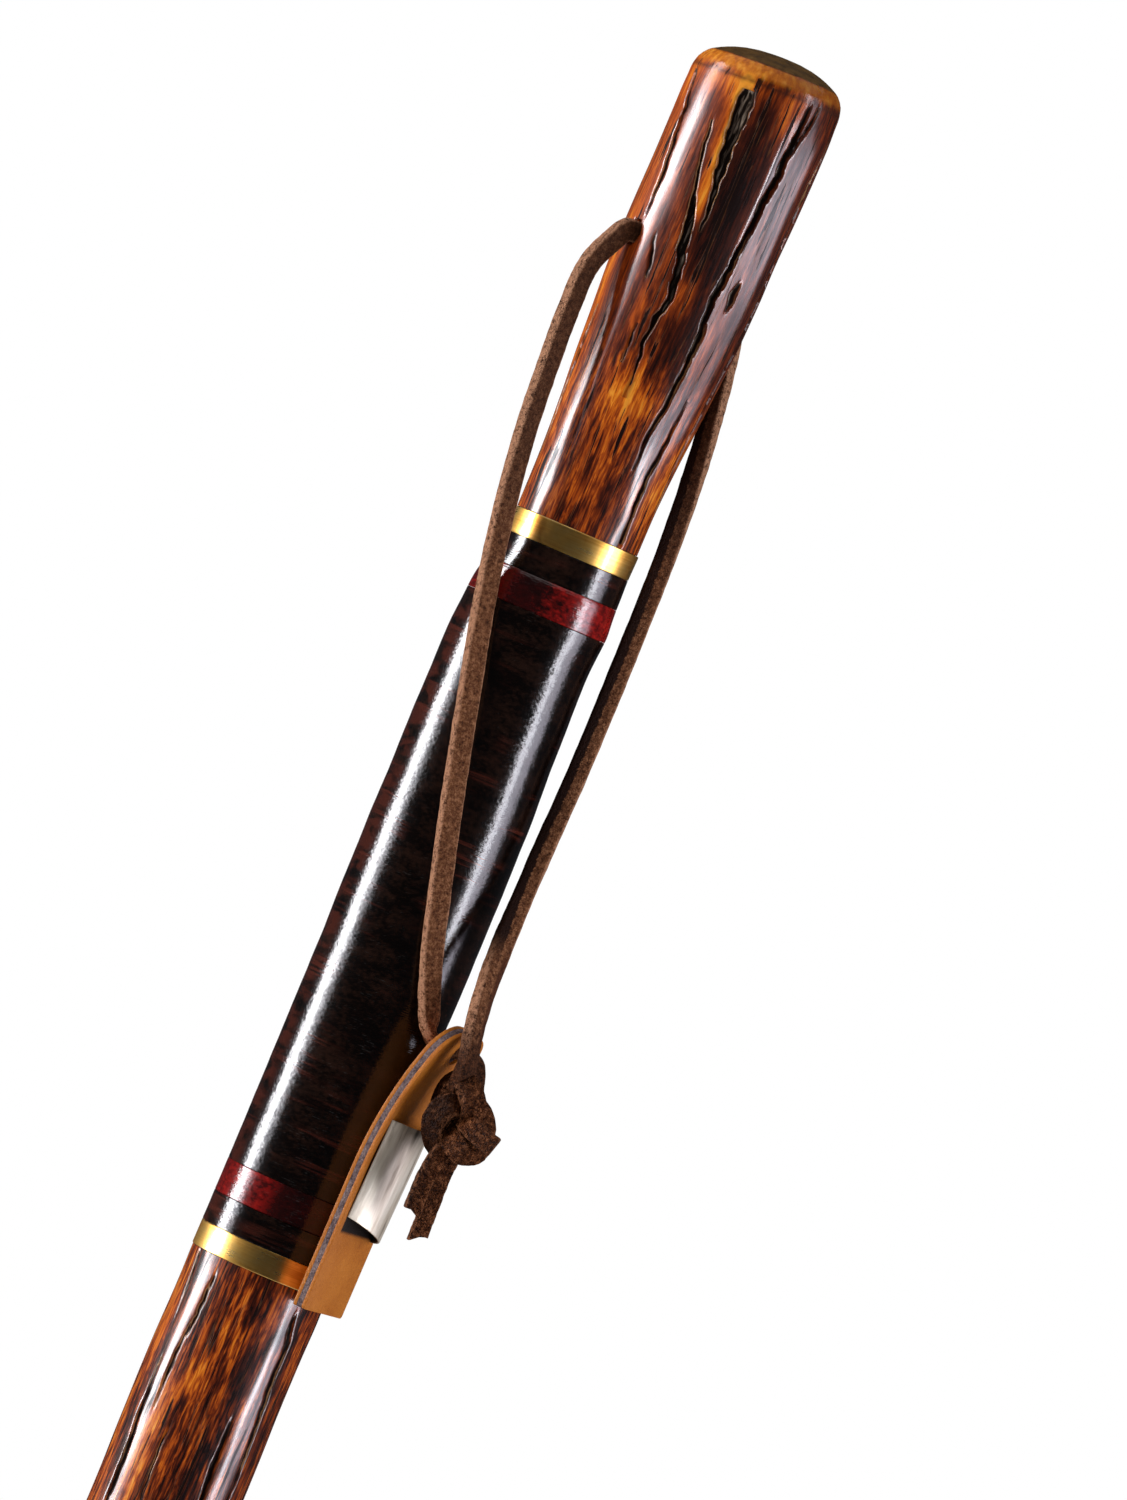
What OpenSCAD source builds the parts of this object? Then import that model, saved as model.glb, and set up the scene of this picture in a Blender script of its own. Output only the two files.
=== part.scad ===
// Hiking staff: a hickory stick with its bark furrows left on the head, a lacquered thread grip between
// two gold bands, a leather thong tied through the head, a leather hang tag and a push-on rubber ferrule.
// Millimetres. The origin lies on the grip's axis at the middle of the grip. +Z runs up the staff,
// -Y is the front and +X is the side that the tag hangs on.

/* [Stick] */
// Overall length, from the top of the crown to the underside of the ferrule
staff_length = 1400; // [1200:10:1600]
// Length of bare wood between the crown and the grip
head_length = 101.5; // [95:0.5:110]
// Height of the rounded crown above the head
crown_rise = 5.4; // [4:0.2:7]
// Extra height of the crown's right edge over its middle
crown_slant = 0.8; // [0:0.1:1.5]
// Widest diameter of the head
head_d = 33; // [31:0.5:34]
// Diameter of the wood at the waist just above the grip
waist_d = 27; // [26.4:0.2:28]
// Diameter of the stick just below the grip
shaft_d = 30.2; // [29.8:0.2:30.4]
// Diameter of the stick just above the ferrule
foot_d = 24.2; // [24:0.2:26]
// Width of the bevel ring round the crown
crown_bevel = 3; // [2:0.5:5]
// Depth of the bark furrows
furrow_depth = 1.4; // [0.4:0.1:2]
// Height of the swelling round a trimmed branch
branch_swell = 1; // [0.2:0.1:2]
// Sideways drift of the foot from the grip's axis
crook = 10; // [0:1:20]

/* [Grip] */
// Length of the grip, both gold bands included
grip_length = 167; // [163:1:170]
// Diameter over the gold band at the top of the grip
grip_top_d = 27.6; // [27:0.2:28]
// Diameter over the upper red winding
grip_shoulder_d = 30.8; // [29:0.2:31.6]
// Diameter over the middle of the grip
grip_mid_d = 32; // [31:0.2:32.4]
// Diameter over the gold band at the bottom of the grip
grip_low_d = 30.6; // [30:0.2:31]
// Width of a gold band
band_w = 5.4; // [4:0.2:7]
// Width of the black winding between a gold band and a red one
border_w = 6.6; // [4:0.2:9]
// Width of a red winding
red_w = 7.2; // [5:0.2:10]
// Thickness of the windings with their lacquer
wrap_t = 0.8; // [0.6:0.1:1.2]
// Clearance between a winding and the wood or winding beside it
wrap_fit = 0.03; // [0.01:0.01:0.05]

/* [Thong] */
// Diameter of the hole through the head
bore_d = 5.2; // [4.6:0.1:6]
// Distance from the foot of the crown to the hole
bore_drop = 40; // [38:0.5:42]
// Turn of the hole from the staff's side-to-side line, left end to the front
bore_turn = 33; // [30:1:36]
// Thickness of the thong
lace_d = 3.6; // [3:0.1:3.8]
// Radius of the thong's turns in the knot
knot_r = 4.2; // [4:0.1:4.6]

/* [Tag] */
// Length of the tag along its inner face
tag_l = 67; // [64:0.5:69]
// Width of the tag
tag_w = 21; // [18:0.5:23]
// Thickness of each tan face ply
face_ply_t = 0.9; // [0.7:0.1:1]
// Thickness of the grey core ply
core_ply_t = 0.6; // [0.5:0.1:0.8]
// Turn of the tag's face from +X towards the front
tag_turn = 22; // [20:1:24]
// Distance from the middle of the tag to the line that it lies against the grip on, towards the front
tag_shift = 5; // [4:0.5:6]
// Gap between the grip and the tag
tag_gap = 0.6; // [0.4:0.1:0.9]
// Distance from the foot of the crown to the tag's lower edge
tag_drop = 271; // [270:0.5:272]
// Length of the straight lower part of the tag
tag_straight = 31; // [30:0.5:32]
// Radius of the bend in the tag's upper part
bend_r = 90; // [86:1:96]
// Diameter of the hole in the tag
tag_hole_d = 5.4; // [4.8:0.1:6]
// Distance from the tag's upper edge to the middle of the hole
tag_hole_in = 5.5; // [5.2:0.1:5.8]
// Length of the arched plate on the tag
plate_l = 26; // [22:0.5:26.5]
// Width of the arched plate
plate_w = 18; // [14:0.5:18]
// Height of the plate's arch
plate_rise = 4.4; // [3:0.2:4.6]
// Wall of the arched plate
plate_t = 0.6; // [0.4:0.1:1]
// Distance from the tag's lower edge to the plate
plate_up = 17; // [14:0.5:17]

/* [Ferrule] */
// Height of the ferrule
ferrule_h = 34; // [33:0.5:38]
// Diameter of the ferrule's flared foot
ferrule_foot_d = 35; // [34:0.5:40]
// Diameter of the ferrule's mouth
ferrule_mouth_d = 29.4; // [28:0.2:32]
// Rounding of the ferrule's lower edge
ferrule_edge_r = 2.4; // [1:0.2:4]
// Depth of the socket above the washer
socket_depth = 26; // [22:0.5:27]
// Diameter of the turned end of the stick that the socket takes
spigot_d = 23; // [21:0.2:23.4]
// Radial clearance of the turned end in the socket
socket_fit = 0.05; // [0.02:0.01:0.1]
// Gap between the stick's shoulders and the ferrule
shoulder_gap = 0.3; // [0.2:0.05:0.5]
// Diameter of the steel washer in the bottom of the socket
washer_d = 19; // [16:0.5:20]
// Hole in the steel washer
washer_hole_d = 6; // [4:0.5:8]
// Thickness of the steel washer
washer_t = 1.2; // [0.8:0.1:1.6]
// Depth of the rings in the ferrule's tread
tread_depth = 1.2; // [0.6:0.1:2]

/* [Hidden] */
$fn = 96;

wood = [0.52, 0.25, 0.09];
black_thread = [0.06, 0.05, 0.06];
red_thread = [0.50, 0.06, 0.06];
gold = [0.80, 0.60, 0.22];
brown_lace = [0.36, 0.20, 0.12];
tan_leather = [0.70, 0.40, 0.17];
grey_leather = [0.46, 0.39, 0.40];
bright_metal = [0.78, 0.75, 0.70];
grey_rubber = [0.34, 0.29, 0.26];

// Levels are distances below the foot of the crown
grip_end = head_length + grip_length;
base_level = staff_length - crown_rise;
foot_level = base_level - ferrule_h;

// Height in the part's frame of a level
function height(drop) = head_length + grip_length / 2 - drop;
function mix(a, b, t) = a + (b - a) * t;
function ease(t) = let (s = min(1, max(0, t))) s * s * (3 - 2 * s);
function bell(x) = exp(-x * x);
function unit(v) = v / norm(v);

// Value at x from a table of [x, value] rows, eased between the rows
function eased(table, x, i = 0) =
    i >= len(table) - 1 ? table[len(table) - 1][1] :
    x <= table[i + 1][0]
        ? mix(table[i][1], table[i + 1][1], ease((x - table[i][0]) / (table[i + 1][0] - table[i][0])))
        : eased(table, x, i + 1);

// A solid through rings of points. Open ends get flat caps, and a closed loft joins its last ring to
// its first.
module loft(rings, closed = false) {
    n = len(rings[0]);
    count = len(rings);
    sides = [
        for (j = [0 : closed ? count - 1 : count - 2], i = [0 : n - 1])
            let (near = j * n, far = ((j + 1) % count) * n, next = (i + 1) % n)
            each [[near + i, near + next, far + next], [near + i, far + next, far + i]]
    ];
    caps = closed ? [] : [[for (i = [n - 1 : -1 : 0]) i], [for (i = [0 : n - 1]) (count - 1) * n + i]];
    polyhedron([for (ring = rings) each ring], concat(sides, caps), convexity = 10);
}

// The stick: rings of wood, with furrows in the bark and swellings round trimmed branches

head_sides = 48;
shaft_sides = 36;
shaft_rings = 62;
// Bark furrows: angle round the stick, sway to each side and share of the full depth
furrows = [
    [-148, 5, 0.6], [-118, 9, 0.9], [-92, 7, 1], [-62, 6, 0.9], [-33, 5, 0.8],
    [4, 8, 0.7], [41, 6, 1], [78, 9, 0.8], [112, 6, 0.9], [160, 8, 0.8]
];
furrow_half_angle = 4.5;
furrow_wave = 55;
// Lengths over which the furrows start at the crown and run out beside the grip and down the shaft
furrow_start = 9;
furrow_run_out = 24;
furrow_tail = 280;
// Trimmed branches: share of the way down the bare shaft, then angle round it
branches = [[0.175, -20], [0.287, -115], [0.53, 70], [0.773, -88]];
branch_half_length = 20;
branch_half_angle = 24;
// Bends below the grip: share of the way down the bare shaft, then share of the crook
bends_x = [
    [0, 0], [0.14, 0.2], [0.26, 0.06], [0.36, 0.2], [0.54, 0.55],
    [0.64, 0.62], [0.72, 0.5], [0.86, 0.9], [0.95, 1]
];
bends_y = [[0, 0], [0.18, 0.12], [0.34, 0.28], [0.5, -0.06], [0.66, -0.18], [0.82, 0.1], [0.95, 0]];
// Depth to which the turned seats are let into the natural wood
tenon_l = 4;

// Signed turn from one angle to another
function turn_between(from, to) = ((to - from + 540) % 360) - 180;

function furrow_at(angle, drop) = furrow_depth * max([
    for (f = furrows)
        let (middle = f[0] + f[1] * sin(360 * drop / furrow_wave + f[0]))
        f[2] * bell(turn_between(angle, middle) / furrow_half_angle)
]);

// The crown is a dome inside a bevel ring, and the head narrows below its hole to the waist
// Share of the crown's height in the dome, and shares of the bevel's width at the dome's rim and at the lip
dome_share = 0.6;
rim_share = 0.9;
lip_share = 0.5;
dome_rise = dome_share * crown_rise;
dome_rim_r = head_d / 2 - rim_share * crown_bevel;
// Shares of the rim's radius at which the dome has rings, and the power by which it falls
dome_steps = [0.2, 0.45, 0.68, 0.86, 1];
dome_power = 2.6;
// Insets from the head's widest radius at the bevel's lip, at the foot of the crown and in the bark
lip_inset = lip_share * crown_bevel;
foot_inset = 0.8;
bark_inset = 0.2;

function dome_fall(s) =
    dome_rise * (pow(s, dome_power) - pow(dome_steps[0], dome_power)) / (1 - pow(dome_steps[0], dome_power));

crown_profile = concat(
    [for (s = dome_steps) [dome_fall(s) - crown_rise, dome_rim_r * s]],
    [
        [(dome_rise - crown_rise) / 2, head_d / 2 - lip_inset],
        [0, head_d / 2 - foot_inset],
        [furrow_start / 3, head_d / 2 - bark_inset]
    ]
);
neck_profile = [
    [furrow_start, head_d / 2],
    [bore_drop, head_d / 2 - bark_inset],
    [head_length - furrow_run_out / 4, waist_d / 2],
    [head_length, waist_d / 2]
];
head_ring_step = 5.8;
head_steps = ceil((head_length - furrow_start) / head_ring_step);

function head_ring(drop, r) = [
    for (i = [0 : head_sides - 1])
        let (angle = i * 360 / head_sides)
        let (fade = ease(drop / furrow_start) * ease((head_length - tenon_l - drop) / furrow_run_out))
        let (reach = r - fade * furrow_at(angle, drop))
        let (slant = 2 * crown_slant / head_d * ease(1 - drop / furrow_start))
        [reach * cos(angle), reach * sin(angle), height(drop) + slant * reach * cos(angle)]
];

head_rings = concat(
    [for (p = crown_profile) head_ring(p[0], p[1])],
    [
        for (k = [0 : head_steps])
            let (drop = mix(furrow_start, head_length, k / head_steps))
            head_ring(drop, eased(neck_profile, drop))
    ]
);

shaft_end = foot_level - shoulder_gap;

function shaft_ring(t) =
    let (drop = mix(grip_end, shaft_end, t))
    let (below = drop - grip_end)
    let (fade = ease((below - tenon_l) / furrow_run_out) * ease(1 - below / furrow_tail))
    [
        for (i = [0 : shaft_sides - 1])
            let (angle = i * 360 / shaft_sides)
            let (swell = max([
                for (b = branches)
                    bell((t - b[0]) * (shaft_end - grip_end) / branch_half_length)
                        * bell(turn_between(angle, b[1]) / branch_half_angle)
            ]))
            let (round_r = mix(shaft_d, foot_d, ease(t)) / 2)
            let (reach = round_r + branch_swell * swell - fade * furrow_at(angle, drop))
            [
                crook * eased(bends_x, t) + reach * cos(angle),
                crook * eased(bends_y, t) + reach * sin(angle),
                height(drop)
            ]
    ];

module shaft() {
    color(wood) difference() {
        union() {
            loft(head_rings);
            rotate_extrude() polygon(concat(
                [[0, height(head_length - tenon_l)], [seat_r(0), height(head_length - tenon_l)]],
                [
                    for (zone = [0 : len(edges) - 2], s = zone_levels(zone))
                        [seat_r(s), height(head_length + s)]
                ],
                [[seat_r(grip_length), height(grip_end + tenon_l)], [0, height(grip_end + tenon_l)]]
            ));
            loft([for (k = [0 : shaft_rings]) shaft_ring(k / shaft_rings)]);
            translate([crook, 0, height(foot_level + socket_depth - shoulder_gap)])
                cylinder(h = socket_depth + tenon_l, d = spigot_d);
        }
        translate([0, 0, height(bore_drop)]) rotate([0, 90, bore_turn])
            cylinder(h = 2 * head_d, d = bore_d, center = true);
    }
}

// The grip: windings side by side on a turned seat, all to one outline

// Distances below the grip's upper edge of the windings' edges
upper_red_end = band_w + border_w + red_w;
edges = [
    0, band_w, band_w + border_w, upper_red_end,
    grip_length - upper_red_end, grip_length - band_w - border_w, grip_length - band_w, grip_length
];
// Share of the grip's length down to its widest place
grip_mid_at = 0.44;
grip_outline = [
    [0, grip_top_d / 2],
    [band_w, grip_top_d / 2],
    [upper_red_end, grip_shoulder_d / 2],
    [grip_mid_at * grip_length, grip_mid_d / 2],
    [grip_length - band_w, grip_low_d / 2],
    [grip_length, grip_low_d / 2]
];
winding_step = 6;

function grip_r(s) = eased(grip_outline, s);
function seat_r(s) = grip_r(s) - wrap_t - wrap_fit;
function zone_levels(zone) =
    let (steps = ceil((edges[zone + 1] - edges[zone]) / winding_step))
    [for (k = [0 : steps - 1]) mix(edges[zone], edges[zone + 1], k / steps)];

// The sleeve of one winding, a hair short of the next one
module winding(zone) {
    levels = concat(zone_levels(zone), [edges[zone + 1] - wrap_fit]);
    rotate_extrude() polygon(concat(
        [for (s = levels) [grip_r(s), height(head_length + s)]],
        [for (k = [len(levels) - 1 : -1 : 0]) [grip_r(levels[k]) - wrap_t, height(head_length + levels[k])]]
    ));
}

module upper_gold_band() { color(gold) winding(0); }
module upper_border_winding() { color(black_thread) winding(1); }
module upper_red_winding() { color(red_thread) winding(2); }
module grip_winding() { color(black_thread) winding(3); }
module lower_red_winding() { color(red_thread) winding(4); }
module lower_border_winding() { color(black_thread) winding(5); }
module lower_gold_band() { color(gold) winding(6); }

// The thong: one lace through the head, down both sides, through the tag and tied in a knot

lace_sides = 8;
route_steps = 2;
bore_way = [cos(bore_turn), sin(bore_turn), 0];
bore_front = [sin(bore_turn), -cos(bore_turn), 0];
tag_out = [cos(tag_turn), -sin(tag_turn), 0];
// Distance from the staff's axis at which the lace leaves its hole
lace_mouth_out = 0.6;
lace_mouth = head_d / 2 + lace_mouth_out;
// Turn of the lace outside each end of the hole, along the hole and below it
lace_turn_out = 1.2;
lace_turn_down = 3.5;

// Routes below the hole: to the right, to the back and level
left_route = [
    [-18.8, -10.6, 51], [-19.4, -11.4, 61], [-19.2, -12, 72], [-18, -12.4, 87], [-15.4, -13, 104],
    [-11.9, -14, 122], [-7.2, -17, 141], [-1.6, -18.6, 163], [2.8, -18.4, 179], [6.8, -17.2, 193],
    [10.4, -15.2, 203], [12.6, -13.6, 208]
];
right_route = [
    [14.9, 10.8, 50], [16.2, 9, 61], [17.7, 6.6, 78], [18.8, 4.2, 95], [19.5, 2.2, 116], [19.9, -1, 145],
    [19.6, -6, 168], [19.6, -11.5, 186], [20.6, -17, 198], [21.9, -20.3, 206], [22.8, -21.3, 211.5]
];
knot_centre = [25.6, -20, 223];
tail_routes = [
    [[28.6, -21, 229], [28, -21.6, 235], [27.2, -21.8, 241], [26.3, -21.6, 247]],
    [[24.5, -20.5, 228.5], [22.6, -21, 234], [20.8, -21.2, 240], [19.4, -21.4, 245.5]]
];
// Where the strands enter the knot, from its centre
left_entry = [0.6, 0.3, 5.6];
right_entry = [-3.2, -0.5, 5.7];
// Straight runs of the lace on both sides of the tag's hole
hole_run_in = 4;
hole_run_out = 5;

function place(p) = [p[0], p[1], height(p[2])];
function curve(a, b, c, d, t) =
    0.5 * (2 * b + (c - a) * t + (2 * a - 5 * b + 4 * c - d) * t * t + (3 * b - a - 3 * c + d) * t * t * t);

// A smooth run of points through a route
function smooth_run(p) = [
    for (i = [0 : len(p) - 2], k = [0 : route_steps - 1])
        curve(p[max(0, i - 1)], p[i], p[i + 1], p[min(len(p) - 1, i + 2)], k / route_steps),
    p[len(p) - 1]
];

// Rings of the lace square to the points' run. aside is a direction that the run never takes, and first_way
// sets the first ring's direction.
function lace_rings(p, aside, first_way = undef, closed = false) = [
    for (i = [0 : len(p) - 1])
        let (before = closed ? p[(i + len(p) - 1) % len(p)] : p[max(0, i - 1)])
        let (after = closed ? p[(i + 1) % len(p)] : p[min(len(p) - 1, i + 1)])
        let (way = i == 0 && !is_undef(first_way) ? first_way : unit(after - before))
        let (across = unit(cross(aside, way)), over = cross(across, way))
        [
            for (k = [0 : lace_sides - 1])
                let (angle = (k + 0.5) * 360 / lace_sides)
                p[i] + lace_d / 2 * (cos(angle) * across + sin(angle) * over)
        ]
];

// Start of a strand: out of the hole's end on one side, then over its edge
function strand_start(side) = [
    side * lace_mouth * bore_way + [0, 0, height(bore_drop)],
    side * (lace_mouth + lace_turn_out / 2) * bore_way + [0, 0, height(bore_drop + lace_turn_down / 8)],
    side * (lace_mouth + lace_turn_out) * bore_way + [0, 0, height(bore_drop + lace_turn_down)]
];

module thong_in_hole() {
    color(brown_lace) loft(lace_rings(
        [for (side = [-1, 1]) side * lace_mouth * bore_way + [0, 0, height(bore_drop)]], [0, 0, 1]
    ));
}

module thong_left_strand() {
    hole = tag_hole_place();
    color(brown_lace) loft(lace_rings(smooth_run(concat(
        strand_start(-1),
        [for (p = left_route) place(p)],
        [hole - hole_run_in * tag_out, hole, hole + hole_run_out * tag_out, place(knot_centre) + left_entry]
    )), bore_front, -bore_way));
}

module thong_right_strand() {
    color(brown_lace) loft(lace_rings(smooth_run(concat(
        strand_start(1),
        [for (p = right_route) place(p)],
        [place(knot_centre) + right_entry]
    )), bore_front, bore_way));
}

// The knot: the lace's turns follow a three-lobed overhand knot that hangs aslant
knot_rings = 48;
knot_depth = 0.5 * knot_r;
knot_stretch = 1.25;
knot_swell = 1.3;
knot_lean = 25;

function knot_point(a) =
    let (reach = knot_r + knot_depth * cos(3 * a))
    let (across = reach * cos(2 * a + 90), up = knot_stretch * reach * sin(2 * a + 90))
    place(knot_centre) + [
        across * cos(knot_lean) - up * sin(knot_lean),
        knot_swell * knot_depth * sin(3 * a),
        across * sin(knot_lean) + up * cos(knot_lean)
    ];

module thong_knot() {
    run = [for (k = [0 : knot_rings - 1]) knot_point(360 * k / knot_rings)];
    color(brown_lace) loft(lace_rings(run, [0, 1, 0], closed = true), true);
}

module thong_tails() {
    color(brown_lace) for (route = tail_routes)
        loft(lace_rings(smooth_run([for (p = route) place(p)]), [0, 1, 0]));
}

// The tag: three leather plies bent together, straight against the grip below and curling away above

tag_t = 2 * face_ply_t + core_ply_t;
tag_inner_x = max(grip_low_d, shaft_d) / 2 + tag_gap;
bend_steps = 8;
bend_angle = (tag_l - tag_straight) / bend_r * 180 / PI;
tag_corner_r = 2;
tag_top_r = 7;
hole_cut_l = 8 * tag_t;
// Length by which a cutting shape passes the face that it opens
cut_over = 1;

// A point of the tag's side outline: in from the inner face by depth, up from the lower edge along the bend
function tag_point(depth, up) =
    let (a = max(0, up - tag_straight) / bend_r * 180 / PI, r = bend_r - depth)
    [tag_inner_x + bend_r - r * cos(a), height(tag_drop) + min(up, tag_straight) + r * sin(a)];

function tag_hole_place() =
    let (p = tag_point(tag_t / 2, tag_l - tag_hole_in))
    p[0] * tag_out + tag_shift * [tag_out[1], -tag_out[0], 0] + [0, 0, p[1]];

// Turns the tag's own frame, with its face along +X, to its place beside the grip
module beside_grip() { rotate([0, 0, -tag_turn]) translate([0, -tag_shift, 0]) children(); }

// One quarter arc of a face outline
function corner(x, y, r, from) = [for (a = [from : 15 : from + 90]) [x + r * cos(a), y + r * sin(a)]];

// The tag's outline seen on its face, tall enough to trim every ply's bend
module tag_face() {
    half = tag_w / 2;
    top = tag_point(0, tag_l)[1] - height(tag_drop);
    polygon(concat(
        corner(half - tag_corner_r, tag_corner_r, tag_corner_r, 270),
        corner(half - tag_top_r, top - tag_top_r, tag_top_r, 0),
        corner(tag_top_r - half, top - tag_top_r, tag_top_r, 90),
        corner(tag_corner_r - half, tag_corner_r, tag_corner_r, 180)
    ));
}

// One ply between two depths from the tag's inner face
module ply(from, to) {
    ups = concat([0], [for (k = [0 : bend_steps]) mix(tag_straight, tag_l, k / bend_steps)]);
    hole = tag_point(tag_t / 2, tag_l - tag_hole_in);
    beside_grip() difference() {
        intersection() {
            rotate([90, 0, 0]) linear_extrude(height = 2 * tag_w, center = true) polygon(concat(
                [for (u = ups) tag_point(from, u)],
                [for (k = [len(ups) - 1 : -1 : 0]) tag_point(to, ups[k])]
            ));
            translate([0, 0, height(tag_drop)]) rotate([90, 0, 90])
                linear_extrude(height = tag_inner_x + bend_r) tag_face();
        }
        translate([hole[0], 0, hole[1]]) rotate([0, 90, 0])
            cylinder(h = hole_cut_l, d = tag_hole_d, center = true);
    }
}

// Clearances between the plies and under the plate
ply_gap = 0.02;
plate_gap = 0.12;

module tag_inner_ply() { color(tan_leather) ply(0, face_ply_t - ply_gap); }
module tag_core_ply() { color(grey_leather) ply(face_ply_t, face_ply_t + core_ply_t - ply_gap); }
module tag_outer_ply() { color(tan_leather) ply(face_ply_t + core_ply_t, tag_t); }

// An arch of thin metal, open at both ends, standing on the tag's outer face
module tag_plate() {
    low = tag_point(tag_t, plate_up);
    high = tag_point(tag_t, plate_up + plate_l);
    lean = atan2(high[0] - low[0], high[1] - low[1]);
    arch_r = (plate_w * plate_w / 4 + plate_rise * plate_rise) / (2 * plate_rise);
    cut_l = plate_l + 2 * cut_over;
    color(bright_metal) beside_grip() translate([low[0] + plate_gap, 0, low[1]])
        rotate([0, lean, 0]) difference() {
            translate([plate_rise - arch_r, 0, 0]) cylinder(h = plate_l, r = arch_r);
            translate([plate_rise - arch_r, 0, -cut_over]) cylinder(h = cut_l, r = arch_r - plate_t);
            translate([-2 * arch_r, -arch_r, -cut_over]) cube([2 * arch_r, 2 * arch_r, cut_l]);
        }
}

// The ferrule: a flared rubber cap with a ringed tread and a steel washer under the stick's end

// Height of the bevel at the ferrule's mouth, and how far the bevel's edge stands out
ferrule_lip = 1;
ferrule_lip_out = 0.1;
// Radii at which the tread's rings start, and their width
tread_rings = [5.5, 10];
tread_w = 2;

module at_foot() { translate([crook, 0, height(base_level)]) children(); }

module ferrule() {
    foot = ferrule_foot_d / 2;
    mouth = ferrule_mouth_d / 2;
    floor_z = ferrule_h - socket_depth;
    color(grey_rubber) at_foot() difference() {
        rotate_extrude() polygon(concat(
            [[0, 0]],
            [
                for (a = [-90 : 15 : 0])
                    [foot + ferrule_edge_r * (cos(a) - 1), ferrule_edge_r * (sin(a) + 1)]
            ],
            [
                [mouth + ferrule_lip_out, ferrule_h - ferrule_lip],
                [mouth - ferrule_lip / 2, ferrule_h],
                [0, ferrule_h]
            ]
        ));
        translate([0, 0, floor_z]) cylinder(h = ferrule_h, d = spigot_d + 2 * socket_fit);
        translate([0, 0, floor_z - washer_t]) cylinder(h = ferrule_h, d = washer_d + 2 * wrap_fit);
        for (r = tread_rings)
            rotate_extrude() translate([r, -tread_depth]) square([tread_w, 2 * tread_depth]);
    }
}

module ferrule_washer() {
    color(bright_metal) at_foot() translate([0, 0, ferrule_h - socket_depth - washer_t]) difference() {
        cylinder(h = washer_t - wrap_fit, d = washer_d);
        translate([0, 0, -cut_over]) cylinder(h = washer_t + 2 * cut_over, d = washer_hole_d);
    }
}

shaft();
upper_gold_band();
upper_border_winding();
upper_red_winding();
grip_winding();
lower_red_winding();
lower_border_winding();
lower_gold_band();
thong_in_hole();
thong_left_strand();
thong_right_strand();
thong_knot();
thong_tails();
tag_inner_ply();
tag_core_ply();
tag_outer_ply();
tag_plate();
ferrule();
ferrule_washer();
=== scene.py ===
import math

import bpy
import numpy as np
from mathutils import Matrix, Vector, noise


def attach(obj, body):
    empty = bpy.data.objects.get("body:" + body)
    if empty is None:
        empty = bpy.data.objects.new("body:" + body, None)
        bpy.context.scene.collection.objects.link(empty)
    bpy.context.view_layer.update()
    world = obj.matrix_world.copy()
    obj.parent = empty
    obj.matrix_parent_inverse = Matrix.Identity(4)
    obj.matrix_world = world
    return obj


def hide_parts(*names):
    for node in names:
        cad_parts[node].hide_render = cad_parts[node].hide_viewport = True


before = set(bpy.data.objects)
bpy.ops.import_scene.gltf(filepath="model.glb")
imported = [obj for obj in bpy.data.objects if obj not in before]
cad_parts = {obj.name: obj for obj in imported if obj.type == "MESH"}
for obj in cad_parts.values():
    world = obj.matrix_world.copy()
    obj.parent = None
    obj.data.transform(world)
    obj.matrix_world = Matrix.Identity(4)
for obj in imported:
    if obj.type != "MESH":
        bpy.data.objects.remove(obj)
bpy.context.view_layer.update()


# The camera stands square in front of the grip and is rolled so that the staff leans to the right. Its
# frame takes in the head, the grip and the first of the bare stick below.
picture_w, picture_h = 1127, 1500
pixel = 0.2075e-3
lean = math.radians(23.2)
rise = math.radians(0.5)
camera_distance = 2.6
grip_middle_px = Vector((418.5, 901))

forward = Vector((0, math.cos(rise), -math.sin(rise)))
level_up = Vector((0, math.sin(rise), math.cos(rise)))
level_right = Vector((1, 0, 0))
picture_right = level_right * math.cos(lean) + level_up * math.sin(lean)
picture_up = level_up * math.cos(lean) - level_right * math.sin(lean)
aim = picture_right * (picture_w / 2 - grip_middle_px.x) * pixel
aim += picture_up * (grip_middle_px.y - picture_h / 2) * pixel

close_view = bpy.data.cameras.new("close_view")
close_view.sensor_width = 36
close_view.lens = close_view.sensor_width * camera_distance / (picture_h * pixel)
camera = bpy.data.objects.new("close_view", close_view)
bpy.context.collection.objects.link(camera)
turn = Matrix((picture_right, picture_up, -forward)).transposed().to_4x4()
camera.matrix_world = Matrix.Translation(aim - forward * camera_distance) @ turn
bpy.context.scene.camera = camera


# The stick is one hickory sapling, 1.4 m long. Its head keeps the furrowed bark under a domed and bevelled
# crown, the shaft is shaved and flamed, and the whole is lacquered. The foot is turned down for the ferrule.
# Sizes are in millimetres, levels run down from the crown's foot, and angles are from the front to the right.
crown = 185
head_end = 101.5
grip_end = 268.5
shaft_end = 1360.3
spigot_end = 1386.2
neck_r = 13.5
top_r, foot_r = 15.1, 12.1
spigot_r = 11.5
crook = 10
bore_turn = 33
bore_drop = 40
bore_r = 2.6
bore_sink = 4.5
stick_sides = 280

# Rows are share of the way down the bare shaft, then share of the crook
bends_x = [
    (0, 0), (0.14, 0.2), (0.26, 0.06), (0.36, 0.2), (0.54, 0.55),
    (0.64, 0.62), (0.72, 0.5), (0.86, 0.9), (0.95, 1),
]
bends_y = [(0, 0), (0.18, 0.12), (0.34, 0.28), (0.5, -0.06), (0.66, -0.18), (0.82, 0.1), (0.95, 0)]
# Rows are level, then radius
neck = [(3, 16.3), (9, 16.5), (bore_drop, 16.3), (95.5, neck_r), (head_end, neck_r)]
# Trimmed branches: level, angle, half width and half height of the pale oval
branches = [(459.6, 70, 5, 8), (581.8, -28, 6, 9.5), (847.2, 160, 5, 8), (1112.5, 2, 5, 8)]

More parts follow.
